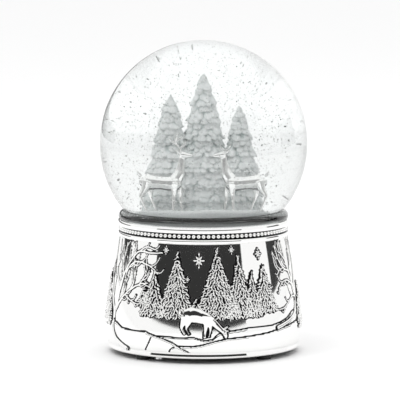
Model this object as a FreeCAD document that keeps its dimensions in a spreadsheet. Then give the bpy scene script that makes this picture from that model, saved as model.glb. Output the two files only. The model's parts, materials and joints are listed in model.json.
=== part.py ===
"""Musical snow globe: a water-filled glass ball on a silver-plated drum that hides a wind-up movement.

Frame: +Z up, origin on the standing plane under the middle of the drum, front towards -Y. Millimetres.
"""
import FreeCAD, Part
import math
import os
import Sketcher
from FreeCAD import Placement, Rotation, Vector
from types import SimpleNamespace

doc = FreeCAD.newDocument("snow_globe")

# ---------------------------------------------------------------- driving dimensions
sizes = {
    # ball, neck and stopper
    "ball_radius": 50.0, "ball_wall": 2.5,
    "neck_radius": 30.0, "neck_length": 8.3, "stopper_flange": 3.0, "stopper_height": 10.0,
    "waist_step": 2.8, "flange_height": 3.9, "flange_round": 2.6, "flange_foot_step": 0.7,
    # drum, its deck and its feet
    "foot_height": 2.5, "foot_radius": 3.2, "foot_pocket": 0.6,
    "drum_flare": 6.4, "drum_top_step": 0.7, "drum_height": 54.0,
    "skirt_height": 10.5, "side_round": 400.0, "drum_wall": 2.2, "edge_round": 1.5,
    "deck_thickness": 2.2, "deck_hole_gap": 1.6,
    # collar, beads and sealant
    "rim_width": 11.3, "collar_foot_step": 0.4, "collar_foot_height": 1.9,
    "groove_depth": 2.0, "groove_height": 3.0, "rim_height": 1.5,
    "shoulder_height": 1.0, "shoulder_step": 0.14, "lip_height": 0.3, "lip_step": 0.6,
    "seat_gap": 0.3, "collar_land": 4.0, "bead_radius": 1.05, "bead_strip": 0.35,
    "collar_screw_depth": 3.0,
    # bottom cover, a dished tray, and its fixings
    "tray_depth": 11.9, "cover_thickness": 1.6, "cover_gap": 0.2, "tray_rim_width": 8.2,
    "key_hole_radius": 4.0,
    "boss_radius": 3.0, "boss_height": 10.0, "boss_inset": 2.4, "boss_screw_depth": 6.0,
    "screw_radius": 1.0, "screw_head_radius": 1.9, "screw_head_height": 1.2,
    "small_screw_radius": 0.6, "small_head_radius": 1.2, "small_head_height": 0.8,
    "slot_width": 0.5, "slot_depth": 0.5,
    # scene inside the ball
    "mound_gap": 0.7, "mound_height": 12.0, "mound_edge": 2.0,
    "tree_row": 6.5, "deer_row": 8.0, "deer_spread": 14.8,
    "middle_tree_height": 50.7, "left_tree_height": 43.1, "right_tree_height": 38.9,
    "middle_tree_radius": 12.4, "left_tree_radius": 11.2, "right_tree_radius": 8.6,
    # movement
    "bed_thickness": 2.0, "arbor_offset": 17.0, "arbor_radius": 1.6, "running_gap": 0.05,
    "axis_height": 14.0, "housing_radius": 10.0, "housing_height": 7.0, "housing_wall": 0.8,
    "bevel_module": 0.75, "spur_module": 0.5, "gear_thickness": 1.6, "worm_wheel_thickness": 2.0,
    "pin_drum_radius": 6.5, "pin_drum_length": 24.0, "pin_height": 0.8, "pin_radius": 0.22,
    "comb_thickness": 1.0, "comb_width": 4.6, "comb_reach": 9.6, "comb_gap": 0.1,
    "bracket_thickness": 1.4, "bracket_foot": 5.0, "pivot_radius": 0.8, "side_play": 1.0,
    "bracket_half_width": 6.0, "bracket_margin": 4.0, "bracket_screw_spread": 3.8, "pivot_margin": 3.0,
    "arm_width": 4.0, "post_thickness": 1.6, "fan_clearance": 1.0, "outer_foot_reach": 2.6,
    "second_drop": 9.0, "worm_pitch_radius": 1.6, "spindle_radius": 0.5,
    "fan_radius": 5.0, "fan_height": 6.4,
    "key_wing": 10.0, "key_wing_thickness": 1.8, "key_drop": 8.0, "key_hub_radius": 3.2,
    "key_ground_gap": 3.0,
}
sheet = doc.addObject("Spreadsheet::Sheet", "Sizes")
for row, (name, number) in enumerate(sizes.items(), 1):
    sheet.set("A%d" % row, name)
    sheet.set("B%d" % row, str(number))
    sheet.setAlias("B%d" % row, name)
doc.recompute()

BEADS = 108
FEET = 4
BOSSES = 3
COLLAR_SCREWS = 3
BEVEL_WHEEL_TEETH = 24
BEVEL_PINION_TEETH = 12
CYLINDER_GEAR_TEETH = 36
SECOND_PINION_TEETH = 10
WORM_WHEEL_TEETH = 20
WORM_STARTS = 2
COMB_TEETH = 18
PINS_PER_TRACK = 3
SPRING_TURNS = 7

kept = []              # the objects that become nodes, in order


class Size:
    """A length as a formula in the sheet's cells, with its present value in millimetres."""

    def __init__(self, text, number):
        self.text, self.number = text, number

    @staticmethod
    def of(other):
        return other if isinstance(other, Size) else Size("%.9g" % other, float(other))

    def joined(self, sign, other, number):
        return Size("(%s %s %s)" % (self.text, sign, other.text), number)

    def __add__(self, other):
        other = Size.of(other)
        return self.joined("+", other, self.number + other.number)

    def __sub__(self, other):
        other = Size.of(other)
        return self.joined("-", other, self.number - other.number)

    def __mul__(self, other):
        other = Size.of(other)
        return self.joined("*", other, self.number * other.number)

    def __truediv__(self, other):
        other = Size.of(other)
        return self.joined("/", other, self.number / other.number)

    def __neg__(self):
        return Size("(0 - %s)" % self.text, -self.number)

    __radd__ = __add__
    __rmul__ = __mul__

    def __rsub__(self, other):
        return Size.of(other) - self


s = SimpleNamespace(**{name: Size("Sizes." + name, number) for name, number in sizes.items()})
ZERO = Size.of(0)


def leg(long_side, other):
    """The third side of a right-angled triangle with this hypotenuse and other side."""
    square = long_side * long_side - other * other
    return Size("sqrt(%s)" % square.text, math.sqrt(square.number))


# ---------------------------------------------------------------- levels that follow from the sizes
rim_radius = s.neck_radius + s.rim_width
lip_radius = rim_radius - s.lip_step
shoulder_radius = rim_radius - s.shoulder_step
flange_radius = rim_radius - s.flange_foot_step
waist_radius = rim_radius - s.waist_step
collar_foot_radius = rim_radius - s.collar_foot_step
drum_top_radius = collar_foot_radius - s.drum_top_step
drum_bottom_radius = drum_top_radius + s.drum_flare
drum_bottom = s.foot_height
drum_top = drum_bottom + s.drum_height
deck_bottom = drum_top - s.deck_thickness
collar_foot_top = drum_top + s.collar_foot_height
groove_top = collar_foot_top + s.groove_height
rim_top = groove_top + s.rim_height
shoulder_top = rim_top + s.shoulder_height
rim_level = drum_bottom + s.cover_thickness
cover_bottom = drum_bottom + s.tray_depth
cover_top = cover_bottom + s.cover_thickness
bed_top = cover_top + s.bed_thickness
axis_z = bed_top + s.axis_height
collar_top = shoulder_top + s.lip_height
flange_bottom = collar_top + s.seat_gap
waist = flange_bottom + s.flange_height
ball_middle = waist + leg(s.ball_radius, waist_radius)
seat_radius = s.ball_radius + s.seat_gap
seat_edge = leg(seat_radius, ball_middle - collar_top)
neck_end = ball_middle - leg(s.ball_radius, s.neck_radius) - s.neck_length
stopper_top = neck_end + s.stopper_height
mound_top = stopper_top + s.mound_height
bore_radius = s.ball_radius - s.ball_wall
neck_bore = s.neck_radius - s.ball_wall
land_radius = s.neck_radius + s.collar_land
groove_radius = collar_foot_radius - s.groove_depth
cover_radius = drum_bottom_radius - s.drum_wall - s.cover_gap
dish_radius = cover_radius - s.tray_rim_width
boss_circle = drum_bottom_radius - s.drum_wall - s.boss_inset
foot_circle = cover_radius - s.foot_radius - 0.4
key_low = s.foot_height + s.key_ground_gap

# stations along the movement, from the spring to the governor
pinion_back = s.bevel_module * (BEVEL_WHEEL_TEETH / 2.0) - s.arbor_offset
wheel_back = axis_z - s.bevel_module * (BEVEL_PINION_TEETH / 2.0)
left_plate = pinion_back + s.bevel_module * 2 + s.side_play
cylinder_start = left_plate + s.bracket_thickness + s.side_play
cylinder_end = cylinder_start + s.pin_drum_length
right_plate = cylinder_end + s.side_play
gear_start = right_plate + s.bracket_thickness + s.side_play * 0.6
worm_x = gear_start + s.gear_thickness + s.worm_wheel_thickness / 2 + s.side_play + 0.4
outer_plate = worm_x + s.worm_wheel_thickness / 2 + s.side_play + 0.4
second_y = -s.second_drop
second_z = axis_z - leg(s.spur_module * ((CYLINDER_GEAR_TEETH + SECOND_PINION_TEETH) / 2.0),
                        s.second_drop)
governor_y = second_y - s.spur_module * (WORM_WHEEL_TEETH / 2.0) - s.worm_pitch_radius
comb_tip = s.pin_drum_radius + s.pin_height + s.comb_gap
comb_root = comb_tip + s.comb_reach
comb_back = comb_root + s.comb_width
comb_low = axis_z - s.comb_thickness / 2


def ball_height(radius, ball):
    """The height at which the lower half of a ball round the globe's centre has this radius."""
    return ball_middle - leg(ball, radius)


def at(*lengths):
    return Vector(*(Size.of(length).number for length in lengths))


# ---------------------------------------------------------------- ways of making a piece
def keep(item, label):
    """Marks an object as one of the part's pieces, under the name that its file takes."""
    item.Label = label
    kept.append(item)
    return item


def bind(item, settings):
    for where, length in settings.items():
        item.setExpression(where, Size.of(length).text)


def feature(label, shape):
    """A piece whose Shape is made with Part's own functions."""
    item = doc.addObject("Part::Feature", label)
    item.Shape = shape
    return keep(item, label)


def draw(sketch, points):
    """Draws a closed outline of (x, y, bend), with each corner and bend bound to the sheet.

    bend belongs to the edge that leaves the point: None for a straight edge, else the arc's radius, and
    a negative radius for an arc whose centre lies on the right of the way round.
    """
    corners = [at(x, y, 0) for x, y, _ in points]
    ends = []
    for i, (_, _, bend) in enumerate(points):
        a, b = corners[i], corners[(i + 1) % len(points)]
        if bend is None:
            sketch.addGeometry(Part.LineSegment(a, b), False)
            ends.append((1, 2))
            continue
        radius, right = abs(bend.number), bend.number < 0
        across = (b - a).normalize()
        side = Vector(across.y, -across.x, 0) if right else Vector(-across.y, across.x, 0)
        centre = (a + b) * 0.5 + side * math.sqrt(radius ** 2 - ((b - a).Length / 2) ** 2)
        first, last = (b, a) if right else (a, b)
        angles = [math.atan2(p.y - centre.y, p.x - centre.x) for p in (first, last)]
        circle = Part.Circle(centre, Vector(0, 0, 1), radius)
        sketch.addGeometry(Part.ArcOfCircle(circle, angles[0], angles[1]), False)
        ends.append((2, 1) if right else (1, 2))
    for i in range(len(points)):
        following = (i + 1) % len(points)
        sketch.addConstraint(Sketcher.Constraint(
            "Coincident", i, ends[i][1], following, ends[following][0]))
    for i, (x, y, bend) in enumerate(points):
        wanted = [("DistanceX", x, (-1, 1, i, ends[i][0])), ("DistanceY", y, (-1, 1, i, ends[i][0]))]
        if bend is not None:
            wanted.append(("Radius", -bend if bend.number < 0 else bend, (i,)))
        for kind, length, places in wanted:
            length = Size.of(length)
            number = sketch.addConstraint(Sketcher.Constraint(kind, *places, length.number))
            sketch.setExpression("Constraints[%d]" % number, length.text)


def turned(name, points):
    """A Body turned about Z from an outline of (radius, height, bend)."""
    body = doc.addObject("PartDesign::Body", name)
    sketch = body.newObject("Sketcher::SketchObject", name + "_profile")
    ground = next(f for f in body.Origin.OriginFeatures if f.Role == "XZ_Plane")
    sketch.AttachmentSupport = (ground, "")
    sketch.MapMode = "FlatFace"
    draw(sketch, points)
    turn = body.newObject("PartDesign::Revolution", name + "_turn")
    turn.Profile = sketch
    turn.ReferenceAxis = (sketch, ["V_Axis"])
    turn.Angle = 360
    doc.recompute()
    return body


def cylinder(name, radius, height, x=ZERO, y=ZERO, z=ZERO):
    item = doc.addObject("Part::Cylinder", name)
    bind(item, {"Radius": radius, "Height": height, "Placement.Base.x": x,
                "Placement.Base.y": y, "Placement.Base.z": z})
    return item


def box(name, low, high):
    """A box between two corners."""
    item = doc.addObject("Part::Box", name)
    for side, axis, a, b in zip(("Length", "Width", "Height"), "xyz", low, high):
        bind(item, {side: Size.of(b) - a, "Placement.Base." + axis: a})
    return item


def cut(name, base, tool):
    item = doc.addObject("Part::Cut", name)
    item.Base, item.Tool = base, tool
    return item


def fuse(name, items):
    item = doc.addObject("Part::MultiFuse", name)
    item.Shapes = items
    return item


def around(count, circle, first=0.0):
    """count places on a circle, the first at an angle in degrees."""
    for i in range(count):
        angle = math.radians(first + 360.0 * i / count)
        yield circle * math.cos(angle), circle * math.sin(angle)


def screws(label, places, seat, length, up):
    """Slotted screws as one node. Each head lies on the seat and its shank goes up or down from it."""
    made = []
    for i, (x, y) in enumerate(places):
        name = "%s_%d" % (label, i)
        head = cylinder(name + "_head", s.screw_head_radius, s.screw_head_height, x, y,
                        seat - s.screw_head_height if up else seat)
        shank = cylinder(name + "_shank", s.screw_radius, length, x, y, seat if up else seat - length)
        face = seat - s.screw_head_height if up else seat + s.screw_head_height - s.slot_depth
        slot = box(name + "_slot", (x - s.slot_width / 2, y - s.screw_head_radius * 1.5, face),
                   (x + s.slot_width / 2, y + s.screw_head_radius * 1.5, face + s.slot_depth))
        made.append(cut(name, fuse(name + "_blank", [head, shank]), slot))
    return keep(fuse(label, made), label)


def small_screws(places):
    """The small screws of the movement's brackets: (x, y, seat) each, heads up, into the bedplate."""
    made, holes = [], []
    for x, y, seat in places:
        x, y, seat = x.number, y.number, seat.number
        low = bed_top.number - s.bed_thickness.number + 0.2
        shank = Part.makeCylinder(s.small_screw_radius.number, seat - low, Vector(x, y, low))
        head = Part.makeCylinder(s.small_head_radius.number, s.small_head_height.number,
                                 Vector(x, y, seat))
        reach = s.small_head_radius.number * 1.5
        slot = Part.makeBox(s.slot_width.number * 0.6, 2 * reach, s.slot_depth.number,
                            Vector(x - s.slot_width.number * 0.3, y - reach,
                                   seat + s.small_head_height.number - s.slot_depth.number * 0.7))
        made.append(shank.fuse(head).cut(slot).removeSplitter())
        holes.append(shank)
    return Part.makeCompound(made), holes


# ---------------------------------------------------------------- ball, stopper and scene
def make_ball():
    """The ball with its flange and neck, the rubber stopper in the neck, and the liquid above it."""
    bore_foot = ball_height(neck_bore, bore_radius)
    keep(turned("glass_globe", [
        (neck_bore, neck_end, None),
        (s.neck_radius, neck_end, None),
        (s.neck_radius, ball_height(s.neck_radius, s.ball_radius), s.ball_radius),
        (leg(s.ball_radius, ball_middle - flange_bottom), flange_bottom, None),
        (flange_radius, flange_bottom, s.flange_round),
        (waist_radius, waist, s.ball_radius),
        (s.ball_radius, ball_middle, s.ball_radius),
        (ZERO, ball_middle + s.ball_radius, None),
        (ZERO, ball_middle + bore_radius, -bore_radius),
        (bore_radius, ball_middle, -bore_radius),
        (neck_bore, bore_foot, None)]), "glass_globe")
    keep(turned("rubber_stopper", [
        (ZERO, neck_end - s.stopper_flange, None),
        (s.neck_radius, neck_end - s.stopper_flange, None),
        (s.neck_radius, neck_end, None),
        (neck_bore, neck_end, None),
        (neck_bore, stopper_top, None),
        (ZERO, stopper_top, None)]), "rubber_stopper")
    return turned("fill_blank", [
        (ZERO, stopper_top, None),
        (neck_bore, stopper_top, None),
        (neck_bore, bore_foot, bore_radius),
        (bore_radius, ball_middle, bore_radius),
        (ZERO, ball_middle + bore_radius, None)])


def make_tree(name, height, radius, tiers, x):
    """A pine as a stack of tapered tiers, each overhanging the one below it."""
    points = []
    for i in range(tiers):
        low, high = 1 - i / tiers, 1 - (i + 1) / tiers
        points.append((radius * low ** 0.85, mound_top + height * (1 - low), None))
        if i < tiers - 1:
            points.append((radius * (0.72 * high ** 0.85), mound_top + height * (1 - high), None))
    points = [(ZERO, mound_top, None)] + points + [(ZERO, mound_top + height, None)]
    tree = turned(name, points)
    bind(tree, {"Placement.Base.x": x, "Placement.Base.y": s.tree_row})
    return tree


def limb(a, b, start, end):
    """A tapered round limb from a to b with a ball, a little thicker than the limb, at its far end."""
    a, b = Vector(*a), Vector(*b)
    return [Part.makeCone(start, end, (b - a).Length, a, b - a), Part.makeSphere(end * 1.12, b)]


def deer_shape():
    """A standing stag, hooves on z = 0, its head towards -X."""
    sole = 0.2
    solids = [Part.makeSphere(2.95, Vector(5.4, 0, 12.3))]
    solids += limb((5.4, 0, 12.3), (-5.0, 0, 12.2), 2.7, 2.6)
    solids += limb((-5.2, 0, 12.8), (-7.2, 0, 21.0), 2.1, 1.25)
    solids += limb((-6.8, 0, 22.3), (-10.8, 0, 22.7), 1.45, 0.7)
    for side in (-1, 1):
        solids += limb((-4.3, side * 1.4, 12.0), (-3.7, side * 1.4, sole), 1.1, 0.5)
        solids += limb((6.4, side * 1.4, 12.0), (8.6, side * 1.4, 5.6), 1.3, 0.6)
        solids += limb((8.6, side * 1.4, 5.6), (7.0, side * 1.4, sole), 0.62, 0.5)
        solids += limb((-6.8, side * 0.5, 22.5), (-5.2, side * 2.4, 24.0), 0.6, 0.25)
        solids += limb((-6.8, side * 0.6, 23.0), (-5.4, side * 2.6, 28.6), 0.45, 0.3)
        solids += limb((-5.9, side * 1.9, 26.4), (-8.6, side * 3.0, 29.0), 0.35, 0.25)
    shape = solids[0].multiFuse(solids[1:])
    return shape.cut(Part.makeBox(40, 40, 10, Vector(-20, -20, -10)))


def make_scene(fill):
    """Snow, three pines and two stags on the stopper, and the liquid round them."""
    mound_radius = neck_bore - s.mound_gap
    mound = keep(turned("snow_mound", [
        (ZERO, stopper_top, None),
        (mound_radius, stopper_top, None),
        (mound_radius, mound_top - s.mound_edge, s.mound_edge),
        (mound_radius - s.mound_edge, mound_top, None),
        (ZERO, mound_top, None)]), "snow_mound")
    middle = keep(make_tree("tree_middle", s.middle_tree_height, s.middle_tree_radius, 7, ZERO),
                  "tree_middle")
    beside = {}
    for name, way, tiers, height, radius in (
            ("tree_left", -0.94, 6, s.left_tree_height, s.left_tree_radius),
            ("tree_right", 1.02, 5, s.right_tree_height, s.right_tree_radius)):
        whole = make_tree(name + "_whole", height, radius, tiers, s.middle_tree_radius * way)
        beside[name] = keep(cut(name, whole, middle), name)
    stag, deer = deer_shape(), []
    facing = {"deer_left": stag.mirror(Vector(), Vector(1, 0, 0)), "deer_right": stag}
    for label, x in (("deer_left", -s.deer_spread), ("deer_right", s.deer_spread)):
        animal = feature(label, facing[label])
        animal.Placement = Placement(at(x, -s.deer_row, mound_top), Rotation())
        deer.append(animal)
    left = fill
    for i, piece in enumerate([mound, middle, beside["tree_left"], beside["tree_right"]] + deer):
        left = cut("liquid_%d" % i, left, piece)
    keep(left, "liquid_fill")


# ---------------------------------------------------------------- collar, beads and drum
def bead_string():
    """Balls on a thin strip round the groove, joined from equal wedges of one ball each."""
    inner, high = groove_radius.number, 0.9 * s.bead_radius.number
    middle = (collar_foot_top + groove_top).number / 2
    outer = inner + s.bead_strip.number
    step = 360.0 / BEADS
    corners = [Vector(inner, 0, middle - high), Vector(outer, 0, middle - high),
               Vector(outer, 0, middle + high), Vector(inner, 0, middle + high)]
    wedge = Part.Face(Part.makePolygon(corners + corners[:1])).revolve(Vector(), Vector(0, 0, 1), step)
    wedge.rotate(Vector(), Vector(0, 0, 1), -step / 2)
    ball = Part.makeSphere(s.bead_radius.number)
    ball.rotate(Vector(), Vector(0, 1, 0), 90)
    ball.translate(Vector((groove_radius + s.bead_radius + s.bead_strip / 5).number, 0, middle))
    wedge = wedge.fuse(ball)
    wedges = []
    for i in range(BEADS):
        turned_wedge = wedge.copy()
        turned_wedge.rotate(Vector(), Vector(0, 0, 1), step * i)
        wedges.append(turned_wedge)
    return wedges[0].multiFuse(wedges[1:])


def make_collar():
    """The polished collar the ball sits in, the sealant under the ball, and the string of beads."""
    blank = turned("collar_blank", [
        (land_radius, drum_top, None),
        (collar_foot_radius, drum_top, s.collar_foot_height),
        (collar_foot_radius, collar_foot_top, None),
        (groove_radius, collar_foot_top, None),
        (groove_radius, groove_top, None),
        (rim_radius, groove_top, None),
        (rim_radius, rim_top, None),
        (shoulder_radius, shoulder_top, None),
        (lip_radius, collar_top, None),
        (seat_edge, collar_top, -seat_radius),
        (land_radius, ball_height(land_radius, seat_radius), None)])
    places = list(around(COLLAR_SCREWS, land_radius + s.screw_radius * 2, 60))
    taps = fuse("collar_taps", [
        cylinder("collar_tap_%d" % i, s.screw_radius, s.collar_screw_depth, x, y, drum_top)
        for i, (x, y) in enumerate(places)])
    keep(cut("collar", blank, taps), "collar")
    low, high = seat_edge + s.seat_gap, flange_radius - 2 * s.seat_gap
    keep(turned("seat_sealant", [
        (low, collar_top, None),
        (high, collar_top, None),
        (high, flange_bottom, None),
        (low, flange_bottom, None)]), "seat_sealant")
    screws("collar_screws", places, deck_bottom, s.deck_thickness + s.collar_screw_depth, up=True)
    feature("beaded_band", bead_string())
    return places


def make_drum(collar_places):
    """The drum: a flared wall, open at the bottom, with a deck on top and three bosses inside."""
    skirt = drum_bottom + s.skirt_height
    hole_radius = s.neck_radius + s.deck_hole_gap
    inner_round = s.side_round - s.drum_wall
    shell = turned("drum_shell", [
        (drum_bottom_radius - s.drum_wall, drum_bottom, None),
        (drum_bottom_radius - s.edge_round, drum_bottom, s.edge_round),
        (drum_bottom_radius, drum_bottom + s.edge_round, None),
        (drum_bottom_radius, skirt, s.side_round),
        (drum_top_radius, drum_top, None),
        (hole_radius, drum_top, None),
        (hole_radius, deck_bottom, None),
        (drum_top_radius - s.drum_wall, deck_bottom, -inner_round),
        (drum_bottom_radius - s.drum_wall, skirt, None)])
    bosses, holes = [], []
    for i, (x, y) in enumerate(around(BOSSES, boss_circle)):
        bosses.append(cylinder("boss_%d" % i, s.boss_radius, s.boss_height, x, y, rim_level))
        holes.append(cylinder("boss_tap_%d" % i, s.screw_radius, s.boss_screw_depth, x, y, rim_level))
    for i, (x, y) in enumerate(collar_places):
        holes.append(cylinder("deck_hole_%d" % i, s.screw_radius, s.deck_thickness, x, y, deck_bottom))
    keep(cut("base_drum", fuse("drum_with_bosses", [shell] + bosses), fuse("drum_holes", holes)),
         "base_drum")


def make_cover(bed_places):
    """The bottom tray: a rim that closes the drum and carries the feet, and a dish round the key."""
    dish_wall = dish_radius + s.cover_thickness
    tray = turned("tray_blank", [
        (ZERO, cover_bottom, None),
        (dish_radius, cover_bottom, None),
        (dish_radius, drum_bottom, None),
        (cover_radius, drum_bottom, None),
        (cover_radius, rim_level, None),
        (dish_wall, rim_level, None),
        (dish_wall, cover_top, None),
        (ZERO, cover_top, None)])
    boss_places = list(around(BOSSES, boss_circle))
    holes = [cylinder("key_hole", s.key_hole_radius, s.cover_thickness, -s.arbor_offset, ZERO,
                      cover_bottom)]
    for i, (x, y) in enumerate(boss_places):
        holes.append(cylinder("rim_hole_%d" % i, s.screw_radius, s.cover_thickness, x, y, drum_bottom))
    for i, (x, y) in enumerate(bed_places):
        holes.append(cylinder("bed_hole_%d" % i, s.screw_radius, s.cover_thickness, x, y, cover_bottom))
    feet = []
    for i, (x, y) in enumerate(around(FEET, foot_circle, 45)):
        holes.append(cylinder("foot_pocket_%d" % i, s.foot_radius, s.foot_pocket, x, y, drum_bottom))
        feet.append(cylinder("foot_%d" % i, s.foot_radius, s.foot_height + s.foot_pocket, x, y))
    keep(cut("bottom_cover", tray, fuse("cover_holes", holes)), "bottom_cover")
    keep(fuse("rubber_feet", feet), "rubber_feet")
    screws("cover_screws", boss_places, drum_bottom, s.cover_thickness + s.boss_screw_depth, up=True)
    screws("movement_screws", bed_places, cover_bottom, s.cover_thickness + s.bed_thickness, up=True)


# ---------------------------------------------------------------- gears
def tooth(teeth, module, thin, low=1.15, high=0.85, pressure=20.0, steps=5):
    """One flank of an involute tooth, root to tip: (height over the pitch circle, half angle)."""
    pitch = module * teeth / 2.0
    base = pitch * math.cos(math.radians(pressure))

    def involute(radius):
        slope = math.sqrt(max((radius / base) ** 2 - 1, 0))
        return slope - math.atan(slope)

    half = (math.pi / 2.0 - thin) / teeth
    rows = []
    for i in range(steps):
        height = module * (-low + (low + high) * i / (steps - 1))
        rows.append((height, max(half - involute(pitch + height) + involute(pitch), 0.1 / teeth)))
    return pitch, rows


def gear_wire(teeth, module, thin, phase, z, lean=0.0, scale=1.0):
    """A gear's closed outline in the plane z, with the middle of a tooth at the angle phase.

    lean is a bevel gear's pitch angle: its flanks are those of the larger gear on its back cone, seen
    from the apex of the pitch cone.
    """
    pitch, rows = tooth(teeth / math.cos(lean), module, thin)
    radius = pitch * math.cos(lean)
    corners = []
    for number in range(teeth):
        middle = phase + 2 * math.pi * number / teeth
        for side in (-1, 1):
            for height, half in (rows if side < 0 else reversed(rows)):
                out = (radius + height * math.cos(lean)) * scale
                if lean:
                    back = radius / math.tan(lean)
                    out *= back / (back - height * math.sin(lean))
                angle = middle + side * half / math.cos(lean)
                corners.append(Vector(out * math.cos(angle), out * math.sin(angle), z))
    return Part.makePolygon(corners + [corners[0]])


def bevel(teeth, other, module, phase, face=0.68):
    """A bevel gear with its pitch cone's apex at the origin and its back at z = -height."""
    lean = math.atan2(teeth, other)
    back = module * teeth / 2.0 / math.tan(lean)
    wires = [gear_wire(teeth, module, 0.16, phase, -back * share, lean, share) for share in (1, face)]
    return Part.makeLoft(wires, True, True), back * face


def along_x(shape, x, y, z):
    """Lays a shape made along +Z along +X, from a point."""
    moved = shape.copy()
    moved.Placement = Placement(at(x, y, z), Rotation(Vector(0, 0, 1), Vector(1, 0, 0)))
    return moved


def laid_gear(teeth, thickness, x, y, z, towards, tooth_there, twist=0.0):
    """A gear lying along X, with a tooth or a gap in the middle of its way towards (y, z).

    twist, in radians, is how far the far face is turned against the near one.
    """
    module, thick = s.spur_module.number, thickness.number
    local = Rotation(Vector(1, 0, 0), Vector(0, 0, 1)).multVec(Vector(0, *towards))
    phase = math.atan2(local.y, local.x) + (0 if tooth_there else math.pi / teeth)
    wires = [gear_wire(teeth, module, 0.14, phase - twist / 2, 0),
             gear_wire(teeth, module, 0.14, phase + twist / 2, thick)]
    shape = Part.makeLoft(wires, True, True) if twist else Part.Face(wires[0]).extrude(
        Vector(0, 0, thick))
    return along_x(shape.cut(Part.makeCylinder(s.pivot_radius.number, thick)), x, y, z)


# ---------------------------------------------------------------- spring, key and winding
def spring_shape():
    """The mainspring: a flat strip wound in a spiral inside its housing."""
    strip, steps = 0.4, 16
    inner = s.arbor_radius.number + 0.5
    outer = (s.housing_radius - s.housing_wall).number - 2 * strip
    edges, lines = [], []
    for side in (0.0, strip):
        line = []
        for i in range(SPRING_TURNS * steps + 1):
            radius = inner + (outer - inner) * i / (SPRING_TURNS * steps) + side
            angle = 2 * math.pi * i / steps
            line.append(Vector(radius * math.cos(angle) - s.arbor_offset.number,
                               radius * math.sin(angle), bed_top.number + 0.5))
        curve = Part.BSplineCurve()
        curve.interpolate(line)
        edges.append(curve.toShape())
        lines.append(line)
    for end in (0, -1):
        edges.append(Part.makeLine(lines[0][end], lines[1][end]))
    face = Part.Face(Part.Wire(Part.__sortEdges__(edges)))
    return face.extrude(Vector(0, 0, (s.housing_height - s.housing_wall).number - 1.0))


def make_key():
    """A butterfly key on the arbor's end, in the hollow under the cover."""
    wing_top = key_low + s.key_drop * 0.75
    hub = cylinder("key_hub", s.key_hub_radius, s.key_drop, -s.arbor_offset, ZERO, key_low)
    wing = box("key_wings", (-s.arbor_offset - s.key_wing, -s.key_wing_thickness / 2, key_low),
               (s.key_wing - s.arbor_offset, s.key_wing_thickness / 2, wing_top))
    doc.recompute()
    rounded = doc.addObject("Part::Fillet", "key_wings_rounded")
    rounded.Base = wing
    across = [i for i, edge in enumerate(wing.Shape.Edges, 1)
              if abs(edge.Vertexes[0].Y - edge.Vertexes[-1].Y) > s.key_wing_thickness.number / 2]
    rounded.Edges = [(i, s.key_drop.number * 0.33, s.key_drop.number * 0.33) for i in across]
    bore = cylinder("key_bore", s.arbor_radius, s.key_drop, -s.arbor_offset, ZERO, key_low)
    keep(cut("winding_key", fuse("key_blank", [hub, rounded]), bore), "winding_key")


def make_winding():
    """The spring in its housing, the winding arbor and its bevel wheel, and the key."""
    hole = s.arbor_radius + s.running_gap
    inside = s.housing_radius - s.housing_wall
    ceiling = bed_top + s.housing_height - s.housing_wall
    housing = keep(turned("spring_housing", [
        (hole, ceiling, None),
        (inside, ceiling, None),
        (inside, bed_top, None),
        (s.housing_radius, bed_top, None),
        (s.housing_radius, bed_top + s.housing_height, None),
        (hole, bed_top + s.housing_height, None)]), "spring_housing")
    bind(housing, {"Placement.Base.x": -s.arbor_offset})
    feature("mainspring", spring_shape())
    arbor_top = wheel_back + 1.2
    keep(cylinder("winding_arbor", s.arbor_radius, arbor_top - key_low, -s.arbor_offset, ZERO, key_low),
         "winding_arbor")
    make_key()
    teeth, _ = bevel(BEVEL_WHEEL_TEETH, BEVEL_PINION_TEETH, s.bevel_module.number, 0.0)
    teeth.Placement = Placement(at(-s.arbor_offset, 0, axis_z), Rotation())
    back, web = at(-s.arbor_offset, 0, wheel_back), 1.1
    hub_radius = s.arbor_radius.number + 1.4
    hollow = Part.makeCylinder(hub_radius + 1.2, 4, back + Vector(0, 0, 0.2))
    disc = Part.makeCylinder(s.bevel_module.number * BEVEL_WHEEL_TEETH * 0.4, web,
                             back - Vector(0, 0, web))
    hub = Part.makeCylinder(hub_radius, web + 0.6, back - Vector(0, 0, web))
    bore = Part.makeCylinder(s.arbor_radius.number, 12, back - Vector(0, 0, 6))
    feature("bevel_wheel", teeth.cut(hollow).multiFuse([disc, hub]).cut(bore).removeSplitter())


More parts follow.
